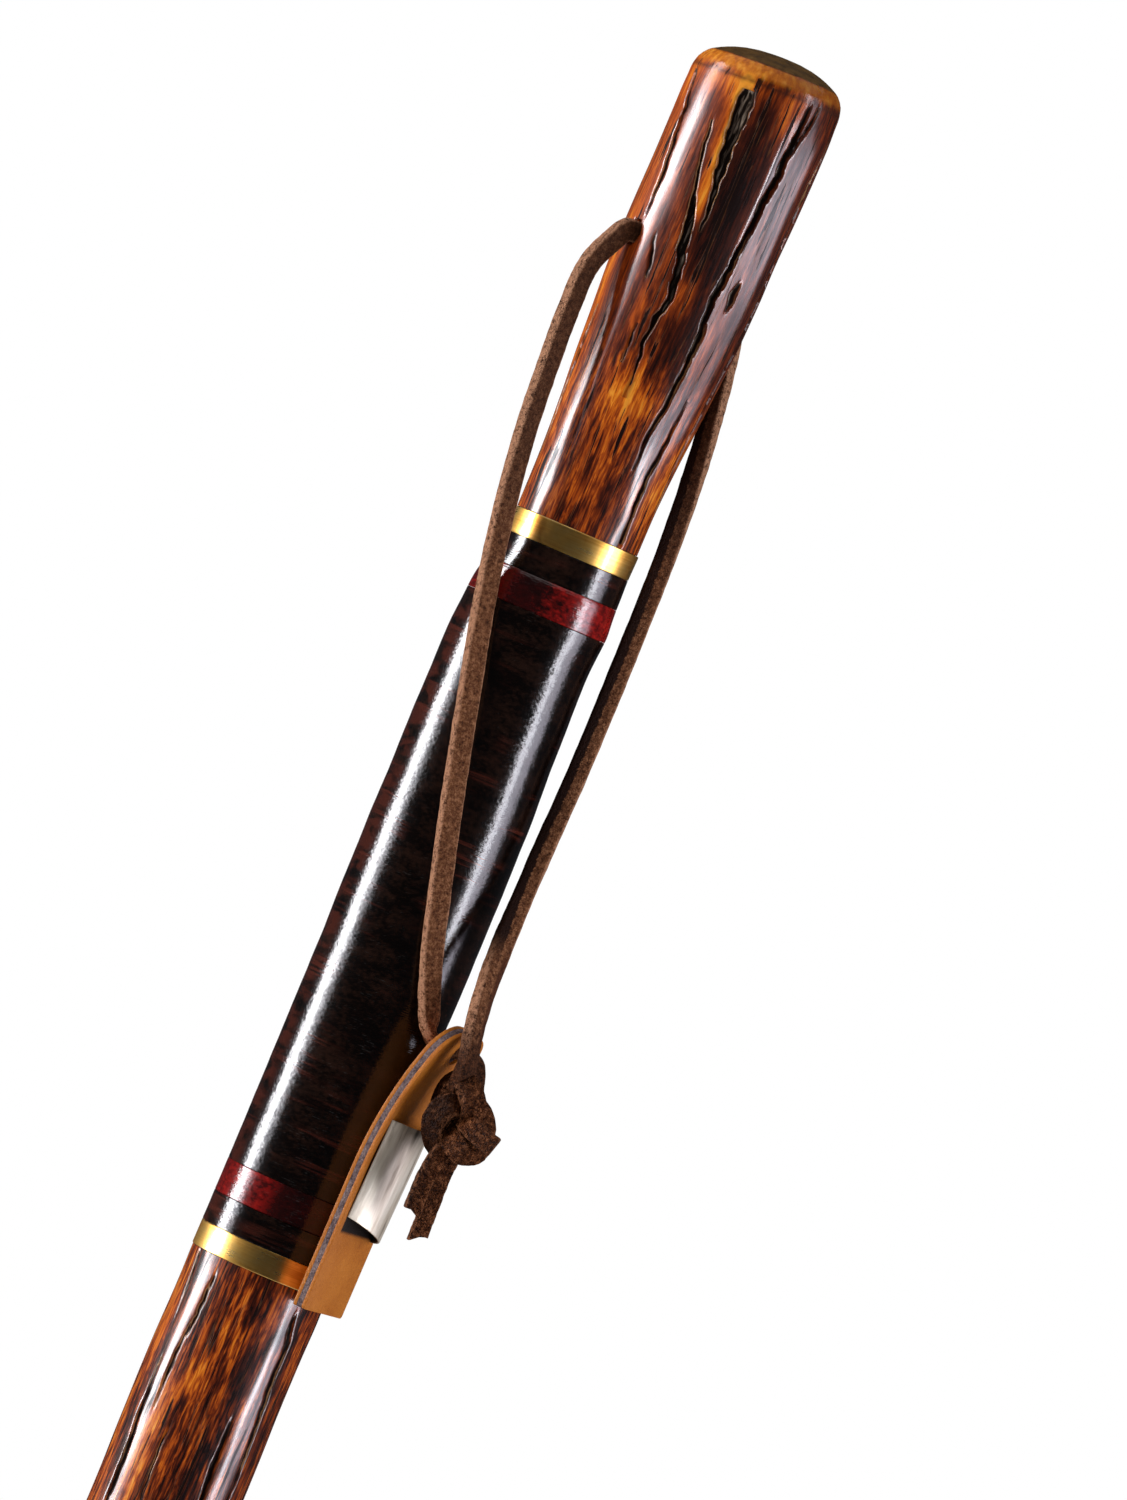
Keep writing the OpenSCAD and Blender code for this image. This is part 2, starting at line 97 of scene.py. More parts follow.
# Furrows in the bark. Rows are level, angle, half width and depth.
furrows = [
    [(3, -66, 0.3, 0.5), (12, -58, 0.5, 1), (20, -55, 0.5, 1), (27, -51.5, 0.4, 0.8), (36, -50, 0.1, 0.2)],
    [
        (56, -69, 0.1, 0.2), (64, -72, 0.45, 0.9), (72, -74, 0.45, 0.9), (80, -76, 0.4, 0.8),
        (90, -78, 0.1, 0.2),
    ],
    [
        (12, -28, 0.1, 0.2), (15, -26.6, 0.2, 0.5), (20, -25, 0.25, 0.6), (27, -20, 0.3, 0.7),
        (33, -15, 0.4, 1),
    ],
    [
        (3.5, -11, 1, 0.5), (5, -10.9, 1.8, 1.3), (10, -9.8, 1.9, 1.8), (18, -8.8, 1.4, 1.8),
        (25, -5.9, 0.9, 1.5), (31, -4.2, 0.4, 0.8), (35, -3.6, 0.1, 0.2),
    ],
    [
        (28, -18, 0.2, 0.4), (30, -16.6, 0.6, 1.2), (35, -13.4, 1, 1.6), (40, -10.3, 1.1, 1.7),
        (43, -7, 0.9, 1.6), (50, -4.1, 0.8, 1.4), (55, -8.4, 0.6, 1.1), (60, -10.8, 0.4, 0.9),
        (66, -7.5, 0.25, 0.5), (73, -8, 0.1, 0.2),
    ],
    [
        (2.5, 37, 0.3, 0.4), (10, 37.1, 0.65, 1.3), (15, 35.8, 0.65, 1.3), (20, 35.3, 0.7, 1.5),
        (25, 32.8, 0.7, 1.5), (30, 32.4, 0.6, 1.4), (35, 30, 0.6, 1.4), (40, 28.8, 0.7, 1.5),
        (45, 26, 0.7, 1.5), (50, 26.2, 0.7, 1.5), (55, 28.4, 0.9, 1.5), (60, 29.6, 0.6, 1.3),
        (65, 28.5, 0.5, 1.2), (70, 27.8, 0.45, 1), (78, 24.2, 0.3, 0.7), (86, 25.4, 0.1, 0.2),
    ],
    [(2, 47, 0.2, 0.3), (5, 45, 0.35, 0.8), (8, 42, 0.3, 0.7), (14, 38, 0.15, 0.4)],
    [
        (68, 47, 0.1, 0.2), (75, 46.2, 0.3, 0.6), (80, 45.3, 0.35, 0.8), (85, 42.2, 0.4, 0.9),
        (101, 44, 0.45, 0.9),
    ],
    [(39, -33.5, 0.1, 0.2), (42, -31.5, 0.3, 0.6), (45, -29.5, 0.3, 0.6), (48, -27.5, 0.1, 0.2)],
    [(57, -20.3, 0.1, 0.2), (61, -20.8, 0.25, 0.5), (66, -20.3, 0.1, 0.2)],
    [(41, 43, 0.1, 0.3), (44, 42.5, 0.9, 1.1), (46, 42.5, 0.7, 0.9), (48.5, 41.5, 0.1, 0.2)],
    [(4, 78, 0.2, 0.4), (20, 74, 0.6, 1.2), (44, 80, 0.7, 1.4), (70, 72, 0.5, 1), (92, 78, 0.2, 0.3)],
    [(4, 104, 0.3, 0.6), (16, 98, 0.9, 1.5), (30, 104, 0.6, 1.2), (36, 106, 0.2, 0.4)],
    [(46, 128, 0.2, 0.4), (60, 122, 0.8, 1.4), (78, 127, 0.6, 1.1), (96, 122, 0.2, 0.3)],
    [(3, 141, 0.3, 0.6), (14, 147, 0.7, 1.3), (34, 140, 0.9, 1.6), (58, 148, 0.6, 1.2), (84, 143, 0.2, 0.3)],
    [(5, 172, 0.2, 0.4), (24, 167, 0.6, 1.2), (46, 174, 0.8, 1.5), (72, 168, 0.6, 1.1), (98, 172, 0.2, 0.3)],
    [
        (4, -152, 0.3, 0.6), (20, -158, 0.8, 1.5), (42, -150, 0.7, 1.4), (66, -156, 0.5, 1),
        (88, -152, 0.2, 0.3),
    ],
    [(3, -122, 0.2, 0.5), (18, -128, 0.7, 1.3), (38, -120, 0.5, 1), (52, -124, 0.2, 0.3)],
    [(50, -104, 0.2, 0.4), (62, -110, 0.6, 1.1), (80, -106, 0.5, 1), (98, -110, 0.2, 0.4)],
    [(4, -96, 0.2, 0.4), (14, -90, 0.6, 1.1), (30, -94, 0.4, 0.8), (36, -96, 0.1, 0.2)],
    [(272.5, -33.8, 0.2, 0.4), (278, -33.3, 0.35, 0.7), (285, -34.9, 0.25, 0.5), (286.5, -35, 0.1, 0.1)],
    [(283.5, -37, 0.15, 0.3), (290, -38, 0.25, 0.5), (295, -38, 0.3, 0.6), (303, -38.5, 0.1, 0.2)],
    [(268.6, -59.6, 0.25, 0.4), (275, -57, 0.3, 0.5), (284, -55, 0.1, 0.2)],
    [
        (292, -51.5, 0.1, 0.2), (303, -50.8, 0.4, 0.7), (308, -49.6, 0.45, 0.8), (315, -48, 0.5, 0.9),
        (345, -49, 0.2, 0.3),
    ],
    [
        (273, 44, 0.2, 0.3), (276, 45, 0.55, 0.9), (280, 48.4, 0.6, 0.9), (288, 48.7, 0.5, 0.9),
        (295, 50.8, 0.4, 0.8), (302, 53.3, 0.4, 0.8), (330, 55, 0.2, 0.4),
    ],
    [(298, 25.6, 0.2, 0.3), (304, 26.4, 0.4, 0.7), (312, 27.2, 0.5, 0.9), (336, 29, 0.2, 0.3)],
    [(303, -18.6, 0.1, 0.2), (308, -18.4, 0.2, 0.4), (324, -18.5, 0.1, 0.2)],
    [(270, 105, 0.2, 0.4), (296, 110, 0.5, 1), (330, 104, 0.2, 0.4)],
    [(274, -128, 0.2, 0.4), (300, -122, 0.5, 0.9), (352, -126, 0.2, 0.4)],
    [(280, 165, 0.2, 0.4), (320, 170, 0.6, 1), (372, 163, 0.2, 0.4)],
    [(563, 28, 0.5, 1), (586, 27, 0.5, 1), (599, 24, 0.2, 0.3)],
    [(582, 44, 0.2, 0.3), (596, 45, 0.4, 0.9), (614, 46, 0.2, 0.4)],
    [(611, 29, 0.3, 0.6), (620, 29.5, 0.5, 0.9), (632, 27, 0.2, 0.3)],
]
# More cracks follow a rule down the side that kept its bark
for step in range(26):
    start = 352 + 38 * step + 9 * math.sin(2.4 * step)
    side = 38 + 104 * (0.618 * step % 1)
    run = 26 + 30 * (0.382 * step % 1)
    furrows.append([
        (start, side, 0.15, 0.3), (start + 0.4 * run, side + 3 * math.sin(step), 0.5, 0.9),
        (start + run, side + 2, 0.15, 0.2),
    ])

# Where the lacquered wood is more amber or darker: angle, level, half width, half height and change
plain_amber = 0.38
amber_patches = [
    (-75, 50, 24, 60, 0.34), (-15, 6, 6, 8, 0.5), (-14, 16, 4.5, 9, 0.55), (-11, 27, 3.6, 7, 0.5),
    (10, 16, 13, 14, -0.26), (9, 36, 14, 14, -0.30), (14, 58, 14, 8, -0.2), (5, 48, 8, 5, 0.34),
    (22, 6, 8, 6, 0.3), (-9, 72, 22, 6, 0.42), (-20, 47, 8, 12, 0.12), (2, 92, 40, 9, 0.1),
    (65, 85, 18, 16, 0.3), (62, 30, 20, 30, -0.05), (-28, 3, 30, 4, 0.35), (150, 40, 40, 40, -0.1),
    (-80, 320, 22, 70, 0.26), (-20, 300, 16, 22, 0.16), (28, 284, 14, 14, -0.10), (12, 322, 16, 16, -0.12),
    (-34, 316, 12, 26, 0.16), (-4, 278, 10, 8, 0.10),
]


def eased(table, x):
    """Values at x from rows of (x, value), eased between the rows."""
    xs, values = np.array(table, float).T
    row = np.clip(np.searchsorted(xs, x, side="right") - 1, 0, len(xs) - 2)
    t = np.clip((x - xs[row]) / (xs[row + 1] - xs[row]), 0, 1)
    return values[row] + (values[row + 1] - values[row]) * t * t * (3 - 2 * t)


def soft_step(low, high, x):
    """0 at low, 1 at high, and eased between them."""
    t = np.clip((x - low) / (high - low), 0, 1)
    return t * t * (3 - 2 * t)


def bell(x):
    """1 at 0, and fading to 0 on both sides."""
    return np.exp(-(x**2))


def turn_from(bearing, middle):
    """Turn in radians from a direction in degrees to each bearing, the shorter way round."""
    return (bearing - np.radians(middle) + np.pi) % (2 * np.pi) - np.pi


def wander(x, seed):
    """Smooth noise along a line, from about -0.7 to 0.7."""
    return np.array([noise.noise(Vector((value, 7.3 * seed, 0.37))) for value in np.atleast_1d(x)])


def formed(name, around, along, shape):
    """A grid primitive whose points are moved to shape(u, v), with its seam and poles merged."""
    bpy.ops.object.select_all(action="DESELECT")
    bpy.ops.mesh.primitive_grid_add(x_subdivisions=around, y_subdivisions=along, size=1)
    piece = bpy.context.object
    piece.name = piece.data.name = name
    flat = np.empty(3 * len(piece.data.vertices))
    piece.data.vertices.foreach_get("co", flat)
    points, marks = shape(flat[0::3] + 0.5, flat[1::3] + 0.5)
    piece.data.vertices.foreach_set("co", (points / 1000).ravel())
    for mark, values in marks.items():
        kind, field = ("FLOAT", "value") if values.ndim == 1 else ("FLOAT_VECTOR", "vector")
        piece.data.attributes.new(mark, kind, "POINT").data.foreach_set(field, values.ravel())
    bpy.ops.object.mode_set(mode="EDIT")
    bpy.ops.mesh.select_all(action="SELECT")
    bpy.ops.mesh.remove_doubles(threshold=2e-6)
    bpy.ops.mesh.select_all(action="DESELECT")
    bpy.ops.mesh.select_non_manifold()
    bpy.ops.mesh.fill_holes(sides=0)
    bpy.ops.mesh.select_all(action="SELECT")
    bpy.ops.mesh.normals_make_consistent(inside=False)
    bpy.ops.object.mode_set(mode="OBJECT")
    bpy.ops.object.shade_smooth_by_angle(angle=math.radians(50))
    return piece


def stick_radius(drop):
    """Radius of the shaved stick below the grip."""
    share = (drop - grip_end) / (shaft_end - grip_end)
    return eased([(0, top_r), (1, foot_r)], share)


dome_top = -5.4
dome_rise = 3.2
dome_rim = 13.8
dome_power = 2.6
dome_radii = (0, 2.5, 5, 7.5, 9.5, 11, 12.1, 12.9, 13.5, dome_rim)
# Rings of the stick from the top: level, then radius
stick_rings = [(dome_top + dome_rise * (r / dome_rim) ** dome_power, r) for r in dome_radii]
stick_rings += [
    (-2, 14.05), (-1.7, 14.4), (-1.3, 14.75), (-0.9, 15.1), (-0.4, 15.4), (0.1, 15.7), (0.7, 15.9),
    (1.3, 16.05), (2, 16.2), (2.7, 16.28),
]
stick_rings += [(drop, float(eased(neck, drop))) for drop in np.arange(3.3, 101.2, 0.72)]
stick_rings += [(101.4, neck_r), (head_end, 12.9), (185, 14.9), (grip_end, 14.3), (268.55, top_r)]
stick_rings += [(drop, float(stick_radius(drop))) for drop in np.arange(269.2, 330, 1.1)]
stick_rings += [(drop, float(stick_radius(drop))) for drop in np.arange(330, 1357, 8)]
stick_rings += [(shaft_end, foot_r), (shaft_end + 0.05, spigot_r)]
stick_rings += [(spigot_end - 0.1, spigot_r), (spigot_end, 0)]


def wood_relief(bearing, drop):
    """Slow lumps of the wood and its fine roughness."""
    lumps, rough = [], []
    for across, deep, level in zip(np.cos(bearing), np.sin(bearing), drop):
        slow = noise.noise(Vector((1.3 * across, 1.3 * deep, level / 30)))
        quick = noise.noise(Vector((3.5 * across, 3.5 * deep, level / 11)))
        lumps.append(0.30 * slow + 0.10 * quick)
        rough.append(noise.noise(Vector((14 * across, 14 * deep, level / 4.2))))
    return np.array(lumps), np.array(rough)


def nearest_furrow(bearing, drop, ring, levels, r):
    """Distance outside the nearest furrow's edge, and the depth of that furrow."""
    edge = np.full(len(r), 9.0)
    depth = np.zeros(len(r))
    for seed, rows in enumerate(furrows):
        at, middles, halves, depths = np.array(rows, float).T
        near = np.nonzero((drop >= at[0]) & (drop <= at[-1]))[0]
        inside = (levels >= at[0]) & (levels <= at[-1])
        jag, swell = np.zeros(len(levels)), np.zeros(len(levels))
        here = levels[inside]
        jag[inside] = 0.42 * wander(here * 0.45, seed) + 0.1 * wander(here * 1.5, seed + 40)
        swell[inside] = 0.9 + 0.4 * wander(here * 0.4, seed + 80)
        away = turn_from(bearing[near], np.interp(drop[near], at, middles))
        gap = np.abs(away * r[near] - jag[ring[near]])
        gap = gap - np.interp(drop[near], at, halves) * swell[ring[near]]
        nearer = gap < edge[near]
        edge[near[nearer]] = gap[nearer]
        depth[near[nearer]] = np.interp(drop[near], at, depths)[nearer]
    return edge, depth


def stick_shape(u, v):
    """The stick's points, and the marks that its material reads."""
    levels, radii = np.array(stick_rings).T
    ring = np.rint(v * (len(levels) - 1)).astype(int)
    drop, r = levels[ring], radii[ring]
    # The points are closer together on the front than on the back
    angle = 360 * (u - 0.5) - 24 * np.sin(2 * np.pi * (u - 0.5))
    bearing = np.radians(angle)
    share = np.clip((drop - grip_end) / (shaft_end - grip_end), 0, 1)
    on_head = drop < head_end

    # Wood shows on the head and below the grip, and is smooth under the grip and on the spigot
    skin = soft_step(-1, 7, drop) * (1 - soft_step(94, 101, drop))
    skin = np.where(drop > grip_end, soft_step(268.6, 276, drop) * (drop <= shaft_end), skin)
    lumps, rough = wood_relief(bearing, drop)
    # The bark right of the long furrow is nearly flat
    flat = soft_step(3, 12, drop) * soft_step(92, 72, drop)
    flat = flat * soft_step(24, 31, angle) * soft_step(72, 58, angle)
    r = r + skin * lumps * (1 - 0.7 * flat)
    r = r * (1 + 0.75 * flat * (0.957 / np.cos(np.radians(np.clip(angle - 41, -30, 30))) - 1))
    edge, depth = nearest_furrow(bearing, drop, ring, levels, r)
    r = r - depth * soft_step(0.3, -0.4, edge) * (1 + 0.25 * rough * (edge < -0.4))

    # The hole for the thong goes right through the head
    for mouth in (bore_turn - 90, bore_turn + 90):
        from_hole = np.hypot(turn_from(bearing, mouth) * r, drop - bore_drop) - bore_r
        r = np.where(on_head, r - bore_sink * soft_step(0.1, -0.6, from_hole), r)
        edge = np.where(on_head & (from_hole < edge), from_hole, edge)

    # Bark stays on the right of the lower shaft, and ends in a low ragged step
    left_end = 27 + 11 * wander(levels / 32, 11)[ring] + 6 * wander(levels / 9, 12)[ring]
    right_end = 158 + 13 * wander(levels / 46, 13)[ring]
    kept = soft_step(left_end - 2, left_end + 2, angle) * soft_step(right_end + 3, right_end - 3, angle)
    bark = kept * soft_step(350, 470, drop)
    r = r + bark * (0.25 + 0.1 * rough) * (drop < shaft_end)

    # Trimmed branches swell, and their ovals are measured from the middle in half widths and half heights
    oval = np.full((len(r), 3), 4.0)
    for level, middle, half_w, half_h in branches:
        away = turn_from(bearing, middle)
        r = r + bell((drop - level) / 20) * bell(np.degrees(away) / 24)
        here = np.stack([away * r / half_w, (drop - level) / half_h, np.zeros(len(r))], 1)
        closer = np.hypot(here[:, 0], here[:, 1]) < np.hypot(oval[:, 0], oval[:, 1])
        oval[closer] = here[closer]

    amber = plain_amber
    for middle, level, half_w, half_h, change in amber_patches:
        away = (angle - middle + 180) % 360 - 180
        amber = amber + change * bell(away / half_w) * bell((drop - level) / half_h)

    marks = {
        "edge": edge,
        "amber": amber,
        "bark": bark,
        "peeled": soft_step(395, 560, drop + 40 * wander(levels / 60, 21)[ring]),
        "crown": soft_step(-2.05, -2.35, drop),
        "bevel": soft_step(-2.3, -1.9, drop) * soft_step(1.3, 0.1, drop + 0.6 * rough),
        "figure": np.where(on_head, 0.3 + 0.3 * soft_step(54, 74, drop), 0.7),
        "gloss": np.where(drop < 20, 0.3 + 0.7 * soft_step(3, 17, drop), 1 - 0.5 * bell((drop - 60) / 14)),
        "under_bevel": bell((drop - 1.9 + 0.5 * rough) / 0.6),
        "oval": oval,
    }
    # The crown is cut a little aslant, higher on the right
    lift = crown - drop + 0.8 * r * np.sin(bearing) / 16.5 * soft_step(9, 0, drop)
    x = crook * eased(bends_x, share) + r * np.sin(bearing)
    y = crook * eased(bends_y, share) - r * np.cos(bearing)
    return np.stack([x, y, lift], 1), marks


stick = formed("stick", stick_sides, len(stick_rings) - 1, stick_shape)
bpy.ops.object.shade_smooth()


class Nodes:
    """A node tree that is being built."""

    def __init__(self, tree):
        self.tree = tree

    def feed(self, socket, value):
        """Links an input to another node's output, or sets it."""
        if isinstance(value, bpy.types.NodeSocket):
            self.tree.links.new(value, socket)
        elif socket.type == "RGBA" and len(value) == 3:
            socket.default_value = (*value, 1)
        else:
            socket.default_value = value

    def put(self, kind, settings=None, *values, **named):
        """A shader node with its settings, its inputs in order and its named inputs."""
        node = self.tree.nodes.new("ShaderNode" + kind)
        for setting, value in (settings or {}).items():
            setattr(node, setting, value)
        for key, value in [*enumerate(values), *named.items()]:
            self.feed(node.inputs[key if isinstance(key, int) else key.replace("_", " ")], value)
        return node

    def sums(self, how, *values):
        """The result of a Math node."""
        return self.put("Math", {"operation": how}, *values).outputs[0]

    def times(self, a, b):
        """Two values multiplied."""
        return self.sums("MULTIPLY", a, b)

    def raised(self, base, value, by):
        """A base raised by so many times a value."""
        return self.sums("MULTIPLY_ADD", value, by, base)

    def varied(self, base, value, by):
        """A base that is raised where a noise value is above a half, and lowered where it is below."""
        return self.raised(base, self.sums("SUBTRACT", value, 0.5), by)

    def spread(self, value, low, high, start=0.0, end=1.0, easing="LINEAR"):
        """Low where the value is at start, high where it is at end, and between them in between."""
        return self.put(
            "MapRange", {"interpolation_type": easing},
            Value=value, From_Min=start, From_Max=end, To_Min=low, To_Max=high,
        ).outputs[0]

    def fade(self, value, start, end):
        """0 where the value is at start, 1 where it is at end, and eased between them."""
        return self.spread(value, 0.0, 1.0, start, end, "SMOOTHSTEP")

    def blend(self, share, under, over):
        """Two colours mixed by a share."""
        node = self.put("Mix", {"data_type": "RGBA"}, share)
        self.feed(node.inputs[6], under)
        self.feed(node.inputs[7], over)
        return node.outputs[2]

    def ramp(self, value, stops):
        """A colour ramp of (place, colour) stops."""
        node = self.put("ValToRGB", None, value)
        while len(node.color_ramp.elements) < len(stops):
            node.color_ramp.elements.new(0.5)
        for element, (place, colour) in zip(node.color_ramp.elements, stops):
            element.position = place
            element.color = (*colour, 1)
        return node.outputs[0]


class Finish(Nodes):
    """A material, with its shader and its Object coordinates."""

    def __init__(self, name):
        self.material = bpy.data.materials.new(name)
        self.material.use_nodes = True
        super().__init__(self.material.node_tree)
        self.shader = self.tree.nodes["Principled BSDF"]
        self.spot = self.put("TexCoord").outputs["Object"]

    def grain(self, across, along, detail=4.0, twist=0.0):
        """Noise that is drawn out along the staff: its count per metre across and along."""
        scaled = self.put("Mapping", None, self.spot, Scale=(across, across, along)).outputs[0]
        drawn = self.put("TexNoise", None, Vector=scaled, Scale=1.0, Detail=detail, Distortion=twist)
        return drawn.outputs[0]

    def axis(self, number):
        """One of the Object coordinates: 0 to the right, 1 to the back, 2 up."""
        return self.put("SeparateXYZ", None, self.spot).outputs[number]

    def mark(self, name, part="Fac"):
        """A value or vector stored on the mesh."""
        return self.put("Attribute", {"attribute_name": name}).outputs[part]

    def give(self, **inputs):
        """Links or sets the shader's own inputs."""
        for key, value in inputs.items():
            self.feed(self.shader.inputs[key.replace("_", " ")], value)

    def bump(self, height, depth, strength):
        """Relief on the shader's Normal, with its depth in metres."""
        relief = self.put("Bump", None, Height=height, Distance=depth, Strength=strength)
        self.give(Normal=relief.outputs[0])


def fit(piece, finish, body, node):
    """Gives a piece its material, parents it to its body and hides the solid in model.glb that it stands for.
    """
    piece.data.materials.append(finish.material)
    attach(piece, body)
    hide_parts(node)


wood = Finish("lacquered_hickory")
edge = wood.mark("edge")
broad = wood.grain(190, 34, 3.0, 0.6)
streak = wood.grain(620, 78, 4.0, 0.4)
hair = wood.grain(2300, 120, 3.0)
fine = wood.grain(1500, 420, 5.0)

# Flamed wood of the head and the upper shaft
figure = wood.varied(0.0, wood.fade(streak, 0.34, 0.66), 0.50)
figure = wood.varied(figure, wood.fade(wood.grain(1500, 260, 4.0, 0.8), 0.36, 0.64), 0.38)
figure = wood.varied(figure, wood.fade(hair, 0.36, 0.64), 0.20)
figure = wood.raised(figure, wood.fade(wood.grain(1300, 55, 4.0, 0.5), 0.55, 0.66), -0.26)
flame = wood.varied(wood.mark("amber"), broad, 0.6)
flame = wood.raised(flame, figure, wood.mark("figure"))
flame = wood.varied(flame, wood.fade(hair, 0.40, 0.60), 0.06)
flamed = wood.ramp(flame, [
    (0.04, (0.008, 0.002, 0.0015)), (0.26, (0.050, 0.007, 0.002)), (0.44, (0.18, 0.025, 0.002)),
    (0.62, (0.47, 0.080, 0.004)), (0.80, (0.75, 0.185, 0.008)), (1.0, (0.92, 0.35, 0.03)),
])

# Fine drying cracks, dark with a pale lip
checks = wood.grain(820, 46, 4.0, 0.3)
crack = wood.fade(checks, 0.615, 0.64)
flamed = wood.blend(wood.times(wood.fade(checks, 0.58, 0.61), 0.15), flamed, (0.44, 0.16, 0.04))
flamed = wood.blend(crack, flamed, (0.010, 0.003, 0.002))

# Shaved wood of the lower shaft: honey with fine dark grain, brown patches of inner bark and small dots
honey = wood.ramp(wood.varied(broad, streak, 0.8), [
    (0.25, (0.30, 0.085, 0.012)), (0.48, (0.56, 0.20, 0.028)), (0.75, (0.74, 0.36, 0.085)),
])
lines = wood.fade(wood.grain(1500, 14, 4.0, 0.2), 0.56, 0.70)
honey = wood.blend(wood.times(lines, 0.65), honey, (0.17, 0.045, 0.008))
patch = wood.varied(wood.grain(82, 36, 2.0, 0.3), fine, 0.06)
inner_bark = wood.ramp(streak, [(0.3, (0.16, 0.040, 0.010)), (0.7, (0.33, 0.085, 0.018))])
inner_bark = wood.blend(wood.fade(patch, 0.585, 0.62), (0.10, 0.022, 0.006), inner_bark)
honey = wood.blend(wood.fade(patch, 0.575, 0.585), honey, inner_bark)
cells = wood.put("Mapping", None, wood.spot, Scale=(150, 150, 80)).outputs[0]
dots = wood.put("TexVoronoi", None, Vector=cells, Scale=1.0, Randomness=1.0).outputs["Distance"]
honey = wood.blend(wood.fade(dots, 0.10, 0.06), honey, (0.07, 0.017, 0.005))
colour = wood.blend(wood.mark("peeled"), flamed, honey)

# Bark on the right of the lower shaft
barked = wood.ramp(wood.varied(broad, streak, 1.2), [
    (0.2, (0.022, 0.009, 0.007)), (0.48, (0.085, 0.028, 0.018)), (0.66, (0.17, 0.050, 0.025)),
    (0.88, (0.38, 0.10, 0.025)),
])
barked = wood.blend(wood.times(wood.fade(fine, 0.55, 0.75), 0.5), barked, (0.17, 0.13, 0.12))
colour = wood.blend(wood.fade(wood.mark("bark"), 0.4, 0.6), colour, barked)

# Ringed ovals where branches were trimmed
oval = wood.put("VectorMath", {"operation": "LENGTH"}, wood.mark("oval", "Vector")).outputs["Value"]
oval = wood.varied(oval, broad, 0.35)
rings = wood.sums("SINE", wood.times(oval, 26.0))
ringed = wood.ramp(wood.raised(fine, rings, 0.16), [
    (0.25, (0.34, 0.16, 0.05)), (0.55, (0.62, 0.40, 0.17)), (0.8, (0.74, 0.55, 0.30)),
])
ringed = wood.blend(wood.fade(oval, 0.34, 0.18), ringed, (0.30, 0.15, 0.09))
swirl = wood.blend(wood.fade(rings, 0.2, 0.9), (0.60, 0.30, 0.08), (0.36, 0.13, 0.03))
rim = wood.times(wood.fade(oval, 0.90, 0.98), wood.fade(oval, 1.10, 1.02))
colour = wood.blend(wood.times(wood.fade(oval, 1.9, 1.2), 0.8), colour, swirl)
colour = wood.blend(wood.fade(oval, 1.02, 0.96), colour, ringed)
colour = wood.blend(rim, colour, (0.20, 0.07, 0.02))

# Furrows are black inside with grey flakes, and the lacquer is worn pale along their lips
ragged = wood.varied(edge, fine, 0.5)
flakes = wood.ramp(wood.grain(1500, 190, 4.0, 0.6), [
    (0.44, (0.012, 0.008, 0.006)), (0.54, (0.17, 0.125, 0.095)), (0.66, (0.48, 0.38, 0.30)),
])
inner = wood.blend(wood.fade(edge, -0.2, -0.9), (0.010, 0.005, 0.004), flakes)
lip = wood.times(wood.fade(ragged, 0.0, 0.08), wood.fade(ragged, 0.26, 0.12))
lip = wood.times(lip, wood.fade(wood.grain(90, 60, 2.0), 0.46, 0.58))
colour = wood.blend(wood.times(wood.fade(ragged, 0.9, 0.2), 0.5), colour, (0.035, 0.010, 0.004))
colour = wood.blend(wood.times(lip, 0.8), colour, (0.42, 0.22, 0.10))
colour = wood.blend(wood.fade(ragged, 0.10, -0.06), colour, inner)

# The crown's bevel shows bright radial fibre over a dark line, and its dome is dark end grain
fibre = wood.ramp(wood.grain(800, 60, 3.0), [
    (0.3, (0.42, 0.095, 0.005)), (0.50, (0.66, 0.190, 0.010)), (0.72, (0.88, 0.36, 0.04)),
])
# Painted shade: the bevel's fibre is painted darker towards the right
fibre = wood.blend(wood.times(wood.fade(wood.axis(0), -0.006, 0.010), 0.62), fibre, (0.13, 0.026, 0.004))
end_grain = wood.ramp(wood.grain(420, 420, 5.0), [
    (0.35, (0.050, 0.024, 0.005)), (0.60, (0.120, 0.060, 0.013)), (0.8, (0.22, 0.125, 0.04)),
])
colour = wood.blend(wood.mark("bevel"), colour, fibre)
colour = wood.blend(wood.times(wood.mark("under_bevel"), 0.75), colour, (0.035, 0.009, 0.004))
colour = wood.blend(wood.mark("crown"), colour, end_grain)

# The lacquer is thin in furrows and cracks and on the dome, and uneven over the grain
coat = wood.raised(1.0, wood.fade(ragged, 0.5, 0.05), -0.9)
coat = wood.times(coat, wood.spread(streak, 0.55, 1.2, 0.3, 0.7))
coat = wood.times(coat, wood.mark("gloss"))
coat = wood.raised(coat, crack, -0.5)
coat = wood.raised(coat, wood.mark("crown"), -0.4)
wood.give(Base_Color=colour, Roughness=0.5, Specular_IOR_Level=0.05, Coat_Weight=coat, Coat_Roughness=0.18)
wood.bump(wood.raised(wood.raised(hair, streak, 0.8), crack, -1.2), 0.00016, 0.5)
fit(stick, wood, "staff", "shaft")


# The windings are fine thread, wound tight and filled with clear lacquer until the turns barely show:
# black over the grip and beside the gold bands, and a red winding at each end.
grip_length = 167
wrap_t = 0.8
wrap_fit = 0.03
wrap_chamfer = 0.12
wrap_sides = 160
band_w = 5.4
border_w = 6.6
red_w = 7.2
red_start = band_w + border_w
red_end = red_start + red_w
grip_outline = [
    (0, 13.8), (band_w, 13.8), (red_end, 15.4), (0.44 * grip_length, 16.0),
    (grip_length - band_w, 15.3), (grip_length, 15.3),
]
# Sideways bow of the grip: level, then millimetres to the right
grip_bow = [
    (101.5, 0.1), (108, 0), (118, -0.9), (130, -1.5), (145, -1.2), (165, -0.6), (185, -0.3), (200, 0),
    (269, 0),
]


